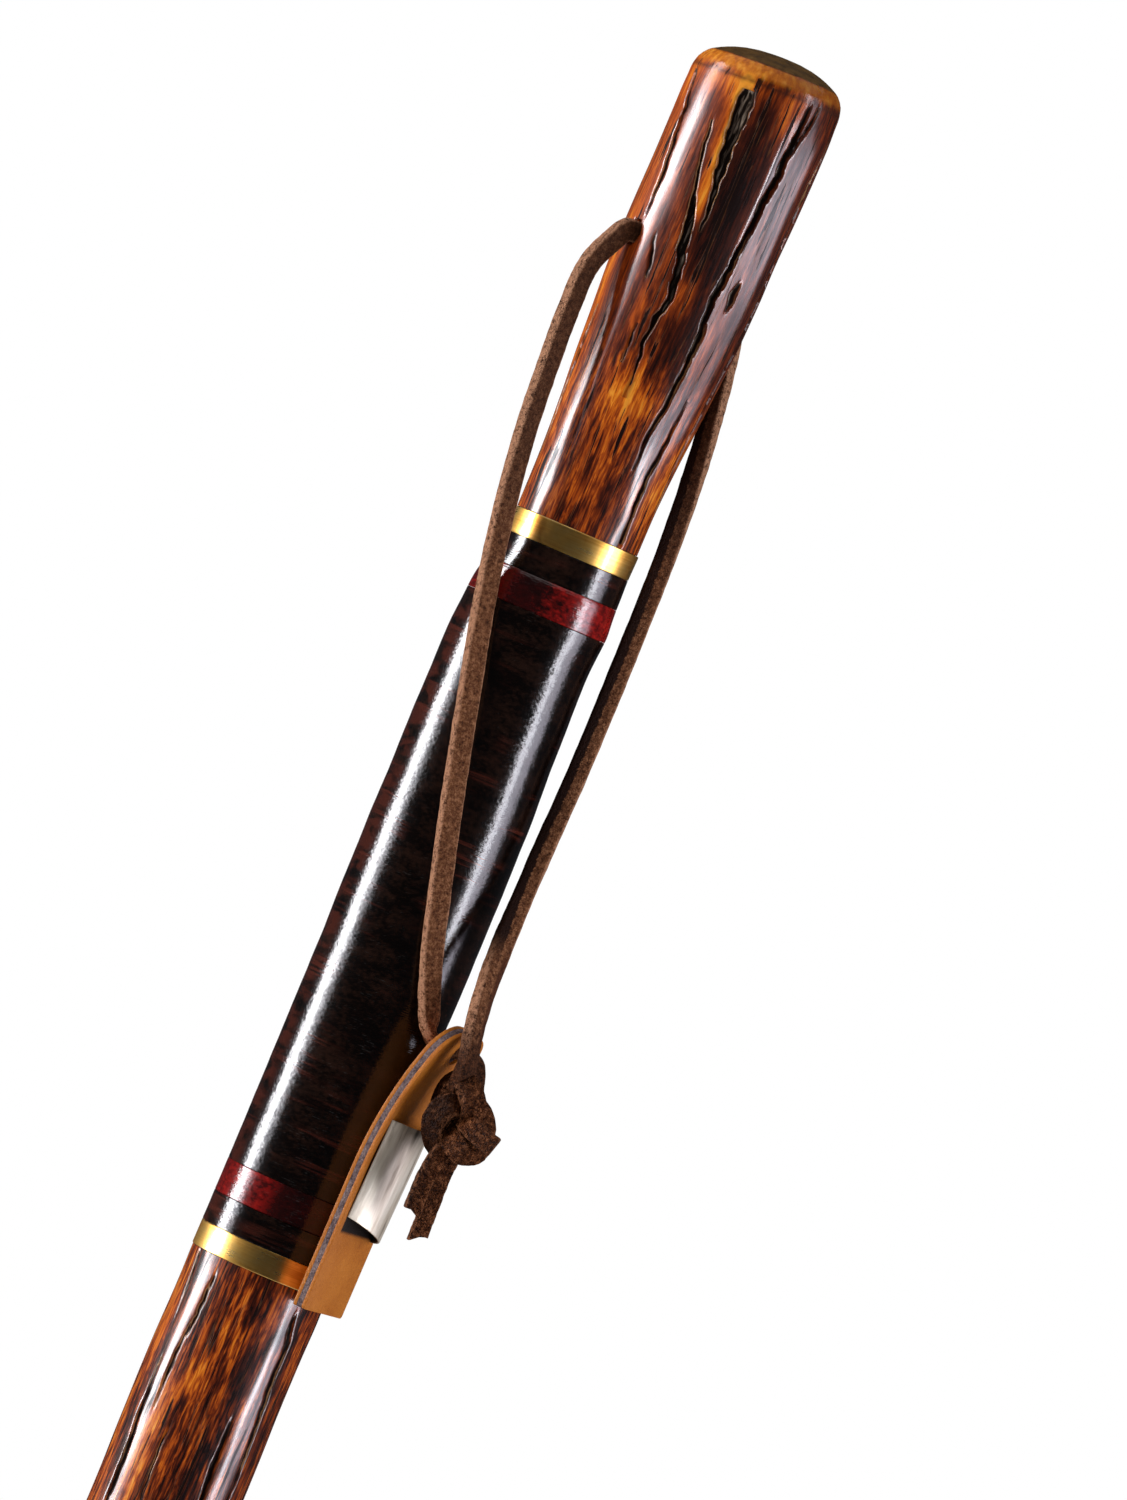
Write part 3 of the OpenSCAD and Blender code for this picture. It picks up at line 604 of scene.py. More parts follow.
def turned(name, profile, sides):
    """A piece drawn as a profile of (radius, height) points by extruding a corner, then spun about +Z."""
    bpy.ops.object.select_all(action="DESELECT")
    bpy.ops.mesh.primitive_plane_add(size=0.001)
    piece = bpy.context.object
    piece.name = piece.data.name = name
    bpy.ops.object.mode_set(mode="EDIT")
    bpy.ops.mesh.select_mode(type="VERT")
    bpy.ops.mesh.select_all(action="SELECT")
    bpy.ops.mesh.merge(type="CENTER")
    here = (0, 0)
    for number, there in enumerate(profile):
        step = ((there[0] - here[0]) / 1000, 0, (there[1] - here[1]) / 1000)
        if number:
            bpy.ops.mesh.extrude_region_move(TRANSFORM_OT_translate={"value": step})
        else:
            bpy.ops.transform.translate(value=step)
        here = there
    bpy.ops.mesh.select_all(action="SELECT")
    bpy.ops.mesh.spin(steps=sides, angle=2 * math.pi, center=(0, 0, 0), axis=(0, 0, 1))
    bpy.ops.mesh.select_all(action="SELECT")
    bpy.ops.mesh.remove_doubles(threshold=2e-6)
    bpy.ops.mesh.normals_make_consistent(inside=False)
    bpy.ops.object.mode_set(mode="OBJECT")
    bpy.ops.object.shade_smooth_by_angle(angle=math.radians(40))
    return piece


def sleeve(name, start, end, ring_step):
    """One winding or band between two distances below the grip's upper edge."""
    top = crown - head_end
    rings = max(2, int((end - start) / ring_step))
    levels = np.linspace(start + wrap_chamfer, end - wrap_fit - wrap_chamfer, rings)
    outer = [(float(eased(grip_outline, s)), top - s) for s in levels]
    first, last = outer[0], outer[-1]
    inner_first = (first[0] - wrap_t, top - start)
    inner_last = (last[0] - wrap_t, top - end + wrap_fit)
    profile = [inner_first, (first[0] - wrap_chamfer, top - start), *outer]
    profile += [(last[0] - wrap_chamfer, top - end + wrap_fit), inner_last, inner_first]
    return turned(name, profile, wrap_sides)


def bow(piece):
    """Bends a sleeve sideways along the grip."""
    for point in piece.data.vertices:
        point.co.x += float(eased(grip_bow, crown - 1000 * point.co.z)) / 1000


def thread_finish(name, stops, stain, stain_share, black=None):
    """Lacquered thread: a mottled colour, rings of stain with more on the left side as painted light on the
    black thread, and painted shade, black, between two places to the right.
    """
    look = Finish(name)
    mottle = look.varied(look.grain(90, 240, 3.0), look.grain(900, 1500, 3.0), 0.9)
    to_right = look.axis(0)
    worn = look.fade(look.grain(60, 30, 2.0), 0.43, 0.64)
    # Painted light: the rings are raised on the left side, where the light falls, so the black thread shows
    # lighter there
    worn = look.sums("MAXIMUM", worn, look.fade(to_right, -0.007, -0.014))
    rings = look.fade(look.grain(40, 420, 4.0), 0.50, 0.64)
    rings = look.times(rings, look.fade(look.grain(60, 1700, 2.0), 0.36, 0.60))
    rings = look.times(rings, worn)
    # Painted light: more rings along the left edge
    left_edge_painted_light = look.fade(look.grain(120, 330, 4.0, 0.4), 0.42, 0.60)
    left_edge_painted_light = look.times(left_edge_painted_light, look.fade(to_right, -0.0115, -0.0145))
    rings = look.sums("MAXIMUM", rings, look.times(left_edge_painted_light, 0.8))
    colour = look.blend(look.times(rings, stain_share), look.ramp(mottle, stops), stain)
    # Painted shade: the winding is painted black between the two places
    if black:
        left, right = black
        uneven = look.varied(to_right, mottle, 0.008)
        painted_shade_span = look.fade(uneven, left - 0.002, left + 0.002)
        painted_shade_span = look.times(painted_shade_span, look.fade(uneven, right + 0.003, right - 0.003))
        colour = look.blend(look.times(painted_shade_span, 0.93), colour, (0.007, 0.002, 0.002))
    rough = look.spread(look.grain(300, 900, 3.0), 0.11, 0.17)
    look.give(Base_Color=colour, Roughness=rough, IOR=1.55, Specular_IOR_Level=0.4)

    # The turns show in relief, broken where the lacquer has filled them
    turns = look.put(
        "TexWave", {"bands_direction": "Z"}, Vector=look.spot, Scale=690.0, Distortion=1.6, Detail=2.0,
        Detail_Scale=0.6,
    ).outputs["Fac"]
    filled = look.fade(look.grain(260, 700, 4.0), 0.36, 0.66)
    look.bump(look.raised(look.times(turns, filled), look.grain(1000, 2600, 3.0), 2.3), 0.00004, 0.7)
    return look


black_thread = thread_finish(
    "black_lacquered_thread", [(0.4, (0.002, 0.0008, 0.0005)), (0.72, (0.016, 0.0065, 0.004))],
    (0.080, 0.017, 0.010), 0.85,
)
red_stops = [(0.25, (0.045, 0.003, 0.003)), (0.5, (0.20, 0.006, 0.005)), (0.78, (0.42, 0.014, 0.010))]
red_stain = (0.025, 0.003, 0.003)
# The last pair of each red winding is where it is painted black, as painted shade
red_thread = thread_finish("red_lacquered_thread", red_stops, red_stain, 0.7, (-0.0085, 0.001))
low_red_thread = thread_finish("low_red_lacquered_thread", red_stops, red_stain, 0.7, (-0.004, 0.02))

low_red, low_border, low_band = (grip_length - width for width in (red_end, red_start, band_w))
for node, start, end, finish, slot in (
    ("upper_border_winding", band_w, red_start, black_thread, "black_thread"),
    ("upper_red_winding", red_start, red_end, red_thread, "red_thread"),
    ("grip_winding", red_end, low_red, black_thread, "black_thread"),
    ("lower_red_winding", low_red, low_border, low_red_thread, "red_thread"),
    ("lower_border_winding", low_border, low_band, black_thread, "black_thread"),
):
    piece = sleeve(node + "_thread", start, end, 1.0)
    # Thread piles up unevenly, so the lacquered surface swells and dips by a few hundredths
    for point in piece.data.vertices:
        swell = noise.noise(Vector((point.co.x * 60, point.co.y * 60, point.co.z * 190)))
        swell += 0.5 * noise.noise(Vector((point.co.x * 150, point.co.y * 150, point.co.z * 520)))
        share = 1 + 0.00005 * swell / math.hypot(point.co.x, point.co.y)
        point.co.x *= share
        point.co.y *= share
    bow(piece)
    fit(piece, finish, "staff", node)


# The gold bands are strips of metal foil at the grip's two edges. Each is wrapped once over the end of the
# black winding and lacquered over with it.
gold = Finish("gold_foil")
brushed = gold.varied(gold.grain(140, 180, 3.0), gold.grain(60, 2600, 3.0), 0.5)
gold.give(
    Base_Color=gold.ramp(brushed, [
        (0.3, (0.54, 0.25, 0.042)), (0.5, (0.80, 0.46, 0.105)), (0.75, (0.95, 0.64, 0.21)),
    ]),
    Roughness=gold.spread(brushed, 0.42, 0.20), Metallic=1.0, Coat_Weight=0.6, Coat_Roughness=0.08,
)
gold.bump(brushed, 0.00012, 0.6)
for node, start in (("upper_gold_band", 0), ("lower_gold_band", low_band)):
    piece = sleeve(node + "_foil", start, start + band_w, 0.9)
    bow(piece)
    fit(piece, gold, "staff", node)


# The thong is one flat lace of brown suede-finished leather. It goes through the hole in the head, hangs
# down both sides of the grip, and its left strand passes through the tag before both are knotted.
lace_w = 4.5
lace_t = 2.8
left_mouth = 17.1
right_mouth = 15.4
strand_steps = 14
hole_rings = 24
up = Vector((0, 0, 1))
bore_way = Vector((math.cos(math.radians(bore_turn)), math.sin(math.radians(bore_turn)), 0))
bore_front = Vector((bore_way.y, -bore_way.x, 0))
bore_middle = up * (crown - bore_drop)
tag_turn = math.radians(22)
tag_out = Vector((math.cos(tag_turn), -math.sin(tag_turn), 0))
tag_hole = Vector((18.665, -12.934, -25.479))
knot_centre = Vector((25.6, -20, crown - 223))
left_entry = Vector((0.6, 0.3, 5.6))
right_entry = Vector((-3.2, -0.5, 5.7))


def route(*rows):
    """Points of a lace: millimetres to the right, millimetres to the back, and level."""
    return [Vector((x, y, crown - drop)) for x, y, drop in rows]


def strand_start(side, mouth):
    """The lace turns out of the hole's end and over its edge."""
    rows = ((0, 0), (0.9, 0.3), (2.4, 2.4))
    return [bore_way * side * (mouth + out) + bore_middle - up * fall for out, fall in rows]


left_route = strand_start(-1, left_mouth) + route(
    (-19.4, -11, 50), (-19.6, -11.6, 60), (-19, -12, 72), (-17.8, -12.4, 87), (-15.4, -13, 104),
    (-11.9, -14, 122), (-7.2, -17, 141), (-1.6, -18.6, 163), (2.8, -18.4, 179), (6.8, -17.2, 193),
    (10.4, -15.2, 203), (12.6, -13.6, 208),
)
left_route += [tag_hole - 4 * tag_out, tag_hole, tag_hole + 5 * tag_out, knot_centre + left_entry]
right_route = strand_start(1, right_mouth)[:2] + route(
    (13.2, 11.3, 44), (13.5, 11.6, 50), (15.4, 9.6, 61), (17.5, 6.6, 78), (18.8, 4.2, 95), (19.5, 2.2, 116),
    (19.9, -1, 145), (19.6, -6, 168), (19.6, -12.2, 186), (20.2, -18.2, 198), (21.4, -21.6, 206),
    (22.6, -22, 211.5),
)
right_route += [knot_centre + right_entry]
# The way that the lace's broad face looks at each point of its route
left_facing = [bore_front] * 3 + [(0.66, -0.75, 0)] * 4 + [(0.55, -0.83, 0)] * 2 + [(0.42, -0.9, 0)] * 3
left_facing += [(0.4, -0.9, 0.2), (0.4, -0.8, 0.5), (0.3, -0.5, 0.8), up, up, up, (0, -0.5, 1)]
right_facing = [bore_front, bore_front, bore_way + bore_front, bore_way, (0.7, 0.7, 0), (0.4, 0.9, 0)]
right_facing += [(0.1, 1, 0), (-0.1, 1, 0), (0, 1, 0), (0.1, 1, 0), (-0.35, 0.93, 0), (-0.65, 0.75, 0)]
right_facing += [(-0.8, 0.6, 0)] * 3


def run_along(rows, steps):
    """A smooth run of points through a route, or of directions along it."""
    rows = np.array([tuple(row) for row in rows])
    run = []
    for i in range(len(rows) - 1):
        a, b, c, d = rows[max(0, i - 1)], rows[i], rows[i + 1], rows[min(len(rows) - 1, i + 2)]
        for t in np.arange(steps) / steps:
            bend = 2 * b + (c - a) * t + (2 * a - 5 * b + 4 * c - d) * t**2
            run.append(0.5 * (bend + (3 * b - a - 3 * c + d) * t**3))
    return np.array([*run, rows[-1]])


def facing_one_way(way, count):
    """The same facing for each point of a run."""
    return np.tile(np.array(way), (count, 1))


def lace(name, run, facing, width, thick, around=24, closed=False, cut=0.0, wear=1.0, twisted=False):
    """Lace swept along a run of points, with its broad face looking along facing."""
    if closed:
        run, facing = np.vstack([run, run[:1]]), np.vstack([facing, facing[:1]])
    way = np.gradient(run, axis=0)
    if closed:
        way[0] = way[-1] = run[1] - run[-2]
    way /= np.linalg.norm(way, axis=1)[:, None]
    over = facing - way * np.sum(facing * way, axis=1)[:, None]
    over /= np.linalg.norm(over, axis=1)[:, None]
    across = np.cross(way, over)
    length = np.concatenate([[0], np.cumsum(np.linalg.norm(np.diff(run, axis=0), axis=1))])
    last = len(run) - 1

    def shape(u, v):
        ring = np.rint(v * last).astype(int)
        turn = 2 * np.pi * u
        along = length[ring]

        def rounded(wave):
            """One side of a rectangle with worn corners."""
            return np.sign(wave) * np.abs(wave) ** 0.36

        def roughness(count, size):
            """Noise round and along the lace."""
            return np.array([
                noise.noise(Vector((count * math.cos(t), count * math.sin(t), s / size)))
                for t, s in zip(turn, along)
            ])

        wide, high = rounded(np.cos(turn)), rounded(np.sin(turn))
        grown = 1 + wear * (0.05 * roughness(3, 3.1) + 0.03 * roughness(9, 0.9))
        points = run[ring] + (width / 2 * wide * grown)[:, None] * across[ring]
        points += (thick / 2 * high * grown)[:, None] * over[ring]
        points += (cut * wide * (ring == last))[:, None] * way[ring]
        return points, {
            "cut_side": soft_step(0.75, 0.98, np.abs(wide)),
            "along": along / 1000,
            "to_end": (length[-1] - along) / 1000,
            # Pieces that aren't twisted have a value that shows no dyed side
            "across": wide if twisted else np.full(len(wide), 0.1),
        }

    return formed(name, around, last, shape)


# Fibre and pores of leather: a group that gives a shade and a height, for counts per metre
leather_fibre = bpy.data.node_groups.new("leather_fibre", "ShaderNodeTree")
leather_fibre.interface.new_socket(name="Spot", in_out="INPUT", socket_type="NodeSocketVector")
for name, way in (("Coarse", "INPUT"), ("Fine", "INPUT"), ("Shade", "OUTPUT"), ("Height", "OUTPUT")):
    leather_fibre.interface.new_socket(name=name, in_out=way, socket_type="NodeSocketFloat")
hide = Nodes(leather_fibre)
where, coarse, close = leather_fibre.nodes.new("NodeGroupInput").outputs[:3]
result = leather_fibre.nodes.new("NodeGroupOutput")
soft = hide.put("TexNoise", None, Vector=where, Scale=coarse, Detail=5.0, Roughness=0.62).outputs[0]
pores = hide.put("TexVoronoi", None, Vector=where, Scale=close).outputs["Distance"]
nap = hide.put("TexNoise", None, Vector=where, Scale=close, Detail=3.0, Distortion=0.8).outputs[0]
hide.feed(result.inputs["Shade"], hide.varied(soft, nap, 0.7))
hide.feed(result.inputs["Height"], hide.raised(nap, pores, 0.5))


def fibre_of(look, coarse, close):
    """Shade and height of the leather fibre group in a material."""
    node = look.put("Group", {"node_tree": leather_fibre}, look.spot, coarse, close)
    return node.outputs["Shade"], node.outputs["Height"]


suede = Finish("brown_lace")
shade, height = fibre_of(suede, 1000.0, 2900.0)
colour = suede.ramp(shade, [
    (0.28, (0.050, 0.018, 0.008)), (0.50, (0.195, 0.073, 0.032)), (0.72, (0.42, 0.185, 0.090)),
])
# Painted shade: the broad face is painted darker near the hole
along = suede.mark("along")
colour = suede.blend(suede.times(suede.fade(along, 0.085, 0.045), 0.62), colour, (0.038, 0.015, 0.009))
cut_side = suede.times(suede.mark("cut_side"), suede.fade(shade, 0.25, 0.6))
colour = suede.blend(suede.times(cut_side, 0.9), colour, (0.58, 0.29, 0.17))
# The right strand is twisted: its dyed side shows on the left, and near the knot on the right
to_end = suede.mark("to_end")
across = suede.varied(suede.mark("across"), shade, 0.4)
twist = suede.fade(to_end, 0.027, 0.036)
dyed_left = suede.times(suede.fade(across, 0.0, -0.16), twist)
colour = suede.blend(dyed_left, colour, (0.022, 0.008, 0.005))
dyed_right = suede.times(suede.fade(across, 0.20, 0.45), suede.sums("SUBTRACT", 1.0, twist))
colour = suede.blend(suede.times(dyed_right, 0.8), colour, (0.075, 0.022, 0.012))
# Each strand darkens into the knot
into_knot = suede.fade(suede.raised(to_end, shade, 0.006), 0.021, 0.010)
into_knot = suede.times(into_knot, suede.fade(along, 0.05, 0.06))
colour = suede.blend(into_knot, colour, suede.ramp(shade, [
    (0.30, (0.012, 0.004, 0.002)), (0.76, (0.14, 0.048, 0.020)),
]))
suede.give(Base_Color=colour, Roughness=0.8, Specular_IOR_Level=0.05)
suede.bump(height, 0.0006, 0.9)

hole_run = np.linspace(bore_way * -left_mouth + bore_middle, bore_way * right_mouth + bore_middle, hole_rings)
in_hole = lace("lace_in_hole", hole_run, facing_one_way(bore_front, hole_rings), lace_w, lace_t)
fit(in_hole, suede, "thong", "thong_in_hole")
left_run = run_along(left_route, strand_steps)
left_strand = lace("left_strand", left_run, run_along(left_facing, strand_steps), lace_w, lace_t)
fit(left_strand, suede, "thong", "thong_left_strand")
right_run = run_along(right_route, strand_steps)
right_strand = lace(
    "right_strand", right_run, run_along(right_facing, strand_steps), lace_w, lace_t, twisted=True
)
fit(right_strand, suede, "thong", "thong_right_strand")


# The knot is an overhand knot of both strands, pulled tight, with a fold of lace standing out at its right
# and two cut ends hanging below it. It is darker than the strands.
dark_suede = Finish("dark_brown_lace")
shade, height = fibre_of(dark_suede, 800.0, 2300.0)
colour = dark_suede.ramp(shade, [
    (0.30, (0.012, 0.003, 0.001)), (0.50, (0.085, 0.024, 0.007)), (0.74, (0.34, 0.125, 0.052)),
])
# Painted shade: the knot is painted darker near its middle, between its wraps
from_middle = dark_suede.put(
    "VectorMath", {"operation": "DISTANCE"}, dark_suede.spot, tuple(knot_centre / 1000)
).outputs["Value"]
painted_crevice_shade = dark_suede.times(dark_suede.fade(from_middle, 0.0052, 0.0030), 0.9)
colour = dark_suede.blend(painted_crevice_shade, colour, (0.006, 0.002, 0.001))
# Painted shadow: the knot is painted darker on its left, towards the tag
painted_tag_shadow = dark_suede.times(dark_suede.fade(dark_suede.axis(0), 0.0258, 0.0215), 0.7)
colour = dark_suede.blend(painted_tag_shadow, colour, (0.006, 0.0015, 0.0006))
ridge = dark_suede.times(dark_suede.mark("cut_side"), dark_suede.fade(shade, 0.36, 0.62))
colour = dark_suede.blend(dark_suede.times(ridge, 0.65), colour, (0.36, 0.145, 0.070))
dark_suede.give(Base_Color=colour, Roughness=0.6, Specular_IOR_Level=0.03)
dark_suede.bump(height, 0.0012, 1.0)

knot_r = 3.3
knot_points = 120
knot_lean = math.radians(25)
knot_wide, knot_tall, knot_deep = 1.05, 1.6, 1.7
knot_turns = np.linspace(0, 2 * np.pi, knot_points, endpoint=False)
reach = knot_r + 0.5 * knot_r * np.cos(3 * knot_turns)
knot_across = knot_wide * reach * np.cos(2 * knot_turns + np.pi / 2)
knot_up = knot_tall * reach * np.sin(2 * knot_turns + np.pi / 2)
knot_run = np.array(knot_centre) + np.stack([
    knot_across * math.cos(knot_lean) - knot_up * math.sin(knot_lean),
    knot_deep * 0.5 * knot_r * np.sin(3 * knot_turns),
    knot_across * math.sin(knot_lean) + knot_up * math.cos(knot_lean),
], 1)
knot_facing = facing_one_way((0.0, -1.0, 0.0), knot_points)
knot_facing += 0.6 * (knot_run - np.array(knot_centre)) / knot_r
knot = lace("knot", knot_run, knot_facing, 5.2, 4.0, around=36, closed=True, wear=2.6)
fit(knot, dark_suede, "thong", "thong_knot")

stub_route = route((26, -21, 222), (29.5, -25.2, 223.4), (34.4, -26.2, 224.8))
first_tail = route((27, -20.5, 229), (26.8, -20.8, 235), (27, -21, 241), (27.2, -21, 248))
second_tail = route((25, -21.5, 228.5), (24.1, -22.4, 234), (23.8, -22.6, 239), (24, -22.4, 243.5))
for name, node, points, steps, way, width, thick, cut in (
    ("knot_stub", "thong_knot", stub_route, 8, (0.2, -1, 0), 4.4, 3.4, 0.0),
    ("tail_1", "thong_tails", first_tail, 12, (0.3, -1, 0), 3.7, 2.4, 1.4),
    ("tail_2", "thong_tails", second_tail, 12, (0.3, -1, 0), 3.7, 2.4, -1.2),
):
    run = run_along(points, steps)
    end = lace(name, run, facing_one_way(way, len(run)), width, thick, cut=cut, wear=2)
    fit(end, dark_suede, "thong", node)


# The hang tag is three plies of leather glued together, tan outside and grey between. It lies straight
# against the grip below and curls away above, where the lace goes through its hole.
tag_l = 67
tag_w = 21
tag_t = 2.8
tag_inner = 15.9
tag_straight = 31
tag_bend_r = 90
tag_shift = 5
tag_low = crown - 271
tag_hole_d = 5.4
tag_corner_r = 0.8
tag_top_r = 7
tag_worn_edge = 0.18
tag_cut_start, tag_cut_step = 3, 1.6
tag_side = Vector((-tag_out.y, tag_out.x, 0))


def on_tag(depth, side, height):
    """A point of the tag: out from its inner face, across it and up along its bend."""
    bent = max(0, height - tag_straight) / tag_bend_r
    r = tag_bend_r - depth
    out = tag_inner + tag_bend_r - r * math.cos(bent)
    lift = tag_low + min(height, tag_straight) + r * math.sin(bent)
    return (tag_out * out + tag_side * (side - tag_shift) + up * lift) / 1000


def round_corners(piece, foot, radius):
    """Rounds the two corners of a block at one end, in edit mode."""
    bpy.ops.mesh.select_mode(type="EDGE")
    bpy.ops.mesh.select_all(action="DESELECT")
    bpy.ops.object.mode_set(mode="OBJECT")
    for side in piece.data.edges:
        a, b = (piece.data.vertices[i].co for i in side.vertices)
        side.select = abs(a.z - foot) < 0.01 and abs(b.z - foot) < 0.01 and abs(a.y - b.y) < 0.01
    bpy.ops.object.mode_set(mode="EDIT")
    bpy.ops.mesh.bevel(offset=radius, segments=8)


def cut_across(heights):
    """Cuts the mesh in edit mode into bands at these heights."""
    for height in heights:
        bpy.ops.mesh.select_all(action="SELECT")
        bpy.ops.mesh.bisect(plane_co=(0, 0, height), plane_no=(0, 0, 1))


def ply(name, inner, outer):
    """One ply: a block with round corners, cut across in bands, bent, pierced and softened."""
    bpy.ops.object.select_all(action="DESELECT")
    bpy.ops.mesh.primitive_cube_add(size=1, location=((inner + outer) / 2, 0, tag_l / 2))
    piece = bpy.context.object
    piece.name = piece.data.name = name
    piece.scale = (outer - inner, tag_w, tag_l)
    bpy.ops.object.transform_apply(location=True, rotation=True, scale=True)
    bpy.ops.object.mode_set(mode="EDIT")
    round_corners(piece, 0, tag_corner_r)
    round_corners(piece, tag_l, tag_top_r)
    cut_across(np.arange(tag_cut_start, tag_l, tag_cut_step))
    bpy.ops.object.mode_set(mode="OBJECT")
    for point in piece.data.vertices:
        point.co = on_tag(point.co.x, point.co.y, point.co.z)
    bpy.ops.mesh.primitive_cylinder_add(vertices=40, radius=tag_hole_d / 2000, depth=0.02)
    punch = bpy.context.object
    through = tag_out.to_track_quat("Z", "Y").to_matrix().to_4x4()
    punch.matrix_world = Matrix.Translation(tag_hole / 1000) @ through
    pierce = piece.modifiers.new("hole", "BOOLEAN")
    pierce.object = punch
    pierce.operation = "DIFFERENCE"
    soften = piece.modifiers.new("worn_edge", "BEVEL")
    soften.width = tag_worn_edge / 1000
    soften.segments = 2
    soften.angle_limit = math.radians(50)
    bpy.ops.object.select_all(action="DESELECT")
    piece.select_set(True)
    bpy.context.view_layer.objects.active = piece
    bpy.ops.object.modifier_apply(modifier="hole")
    bpy.ops.object.modifier_apply(modifier="worn_edge")
    bpy.data.objects.remove(punch)
    bpy.ops.object.shade_smooth_by_angle(angle=math.radians(40))
    return piece


def leather_finish(name, stops, coarse, close, depth, rough):
    """Leather with its own colours and grain, and a painted shadow where the plate covers it."""
    look = Finish(name)
    shade, height = fibre_of(look, coarse, close)
    side, out = (
        look.put("VectorMath", {"operation": "DOT_PRODUCT"}, look.spot, tuple(way)).outputs["Value"]
        for way in (tag_side, tag_out)
    )
    level = look.axis(2)
    # Painted shadow: the outer face is painted dark under the plate
    painted_plate_shadow = 1.0
    for place, outside, inside in (
        (side, -0.0140, -0.0135), (side, 0.004, 0.0035), (out, 0.0181, 0.0183),
        (level, -0.0690, -0.0680), (level, -0.0440, -0.0450),
    ):
        painted_plate_shadow = look.times(painted_plate_shadow, look.fade(place, outside, inside))
    colour = look.blend(painted_plate_shadow, look.ramp(shade, stops), (0.010, 0.005, 0.003))
    look.give(Base_Color=colour, Roughness=rough, Specular_IOR_Level=0.12)
    look.bump(height, depth, 0.7)
    return look


tan_leather = leather_finish(
    "tan_leather",
    [(0.25, (0.40, 0.112, 0.012)), (0.5, (0.51, 0.160, 0.019)), (0.78, (0.60, 0.21, 0.030))],
    90.0, 2400.0, 0.00015, 0.5,
)
grey_leather = leather_finish(
    "grey_core_leather",
    [(0.28, (0.070, 0.045, 0.050)), (0.5, (0.18, 0.125, 0.130)), (0.75, (0.34, 0.25, 0.24))],
    700.0, 2600.0, 0.0004, 0.9,
)
for node, inner, outer, finish, slot in (
    ("tag_inner_ply", 0, 0.8, tan_leather, "tan_leather"),
    ("tag_core_ply", 0.82, 1.98, grey_leather, "grey_leather"),
    ("tag_outer_ply", 2, tag_t, tan_leather, "tan_leather"),
):
    fit(ply(node + "_leather", inner, outer), finish, "tag", node)


# The plate is a strip of bright metal, pressed into a shallow arch and fixed over the tag's outer face. Its
# lower end is cut aslant, so that it opens to the front, and its inside is painted dark as painted shade.
plate_l = 26
plate_w = 18
plate_rise = 4.4
plate_t = 0.6
plate_up = 17
plate_gap = 0.12
plate_slant = 4
plate_rim = 0.15
plate_band = 2
plate_low = on_tag(tag_t, 0, plate_up) * 1000
plate_high = on_tag(tag_t, 0, plate_up + plate_l) * 1000
arch_r = (plate_w**2 / 4 + plate_rise**2) / (2 * plate_rise)
arch_x = plate_rise - arch_r
bpy.ops.object.select_all(action="DESELECT")
bpy.ops.mesh.primitive_cylinder_add(
    vertices=128, radius=arch_r, depth=plate_l, end_fill_type="NOTHING", location=(arch_x, 0, plate_l / 2)
)
plate = bpy.context.object
plate.name = plate.data.name = "tag_plate_metal"
bpy.ops.object.transform_apply(location=True, rotation=True, scale=True)
bpy.ops.object.mode_set(mode="EDIT")
bpy.ops.mesh.select_all(action="SELECT")
bpy.ops.mesh.bisect(plane_co=(0, 0, 0), plane_no=(1, 0, 0), clear_inner=True)
cut_across(np.arange(plate_band, plate_l, plate_band))
bpy.ops.object.mode_set(mode="OBJECT")
wall = plate.modifiers.new("wall", "SOLIDIFY")
wall.thickness = plate_t
wall.offset = -1
rim = plate.modifiers.new("rim", "BEVEL")
rim.width = plate_rim
rim.segments = 2
rim.angle_limit = math.radians(60)
bpy.ops.object.modifier_apply(modifier="wall")
bpy.ops.object.modifier_apply(modifier="rim")
plate_way = (plate_high - plate_low).normalized()
plate_face = plate_way.cross(tag_side) * -1
seat = Matrix((plate_face, tag_side, plate_way)).transposed().to_4x4()
# Points on the inside of the arch are marked for painted shade
painted_shade_inside = []
for point in plate.data.vertices:
    painted_shade_inside.append(math.hypot(point.co.x - arch_x, point.co.y) < arch_r - 0.6 * plate_t)
    point.co.z += plate_slant * (0.5 - point.co.y / plate_w) * (1 - point.co.z / plate_l)
    point.co = (seat @ point.co + plate_low + tag_out * plate_gap) / 1000
plate.data.attributes.new("painted_shade_inside", "FLOAT", "POINT").data.foreach_set("value", np.array(painted_shade_inside, float))
bpy.ops.object.shade_smooth_by_angle(angle=math.radians(35))

plate_metal = Finish("plate_metal")
stain = plate_metal.varied(plate_metal.grain(260, 40, 4.0), plate_metal.grain(1000, 120, 4.0), 0.5)
colour = plate_metal.ramp(stain, [
    (0.24, (0.10, 0.075, 0.055)), (0.42, (0.50, 0.43, 0.34)), (0.66, (0.74, 0.68, 0.58)),
])
# Painted shade: the inside of the arch is painted dark
colour = plate_metal.blend(plate_metal.mark("painted_shade_inside"), colour, (0.006, 0.005, 0.004))
plate_metal.give(Base_Color=colour, Roughness=plate_metal.spread(stain, 0.6, 0.36), Metallic=0.45)
plate_metal.bump(stain, 0.0003, 0.4)
fit(plate, plate_metal, "tag", "tag_plate")


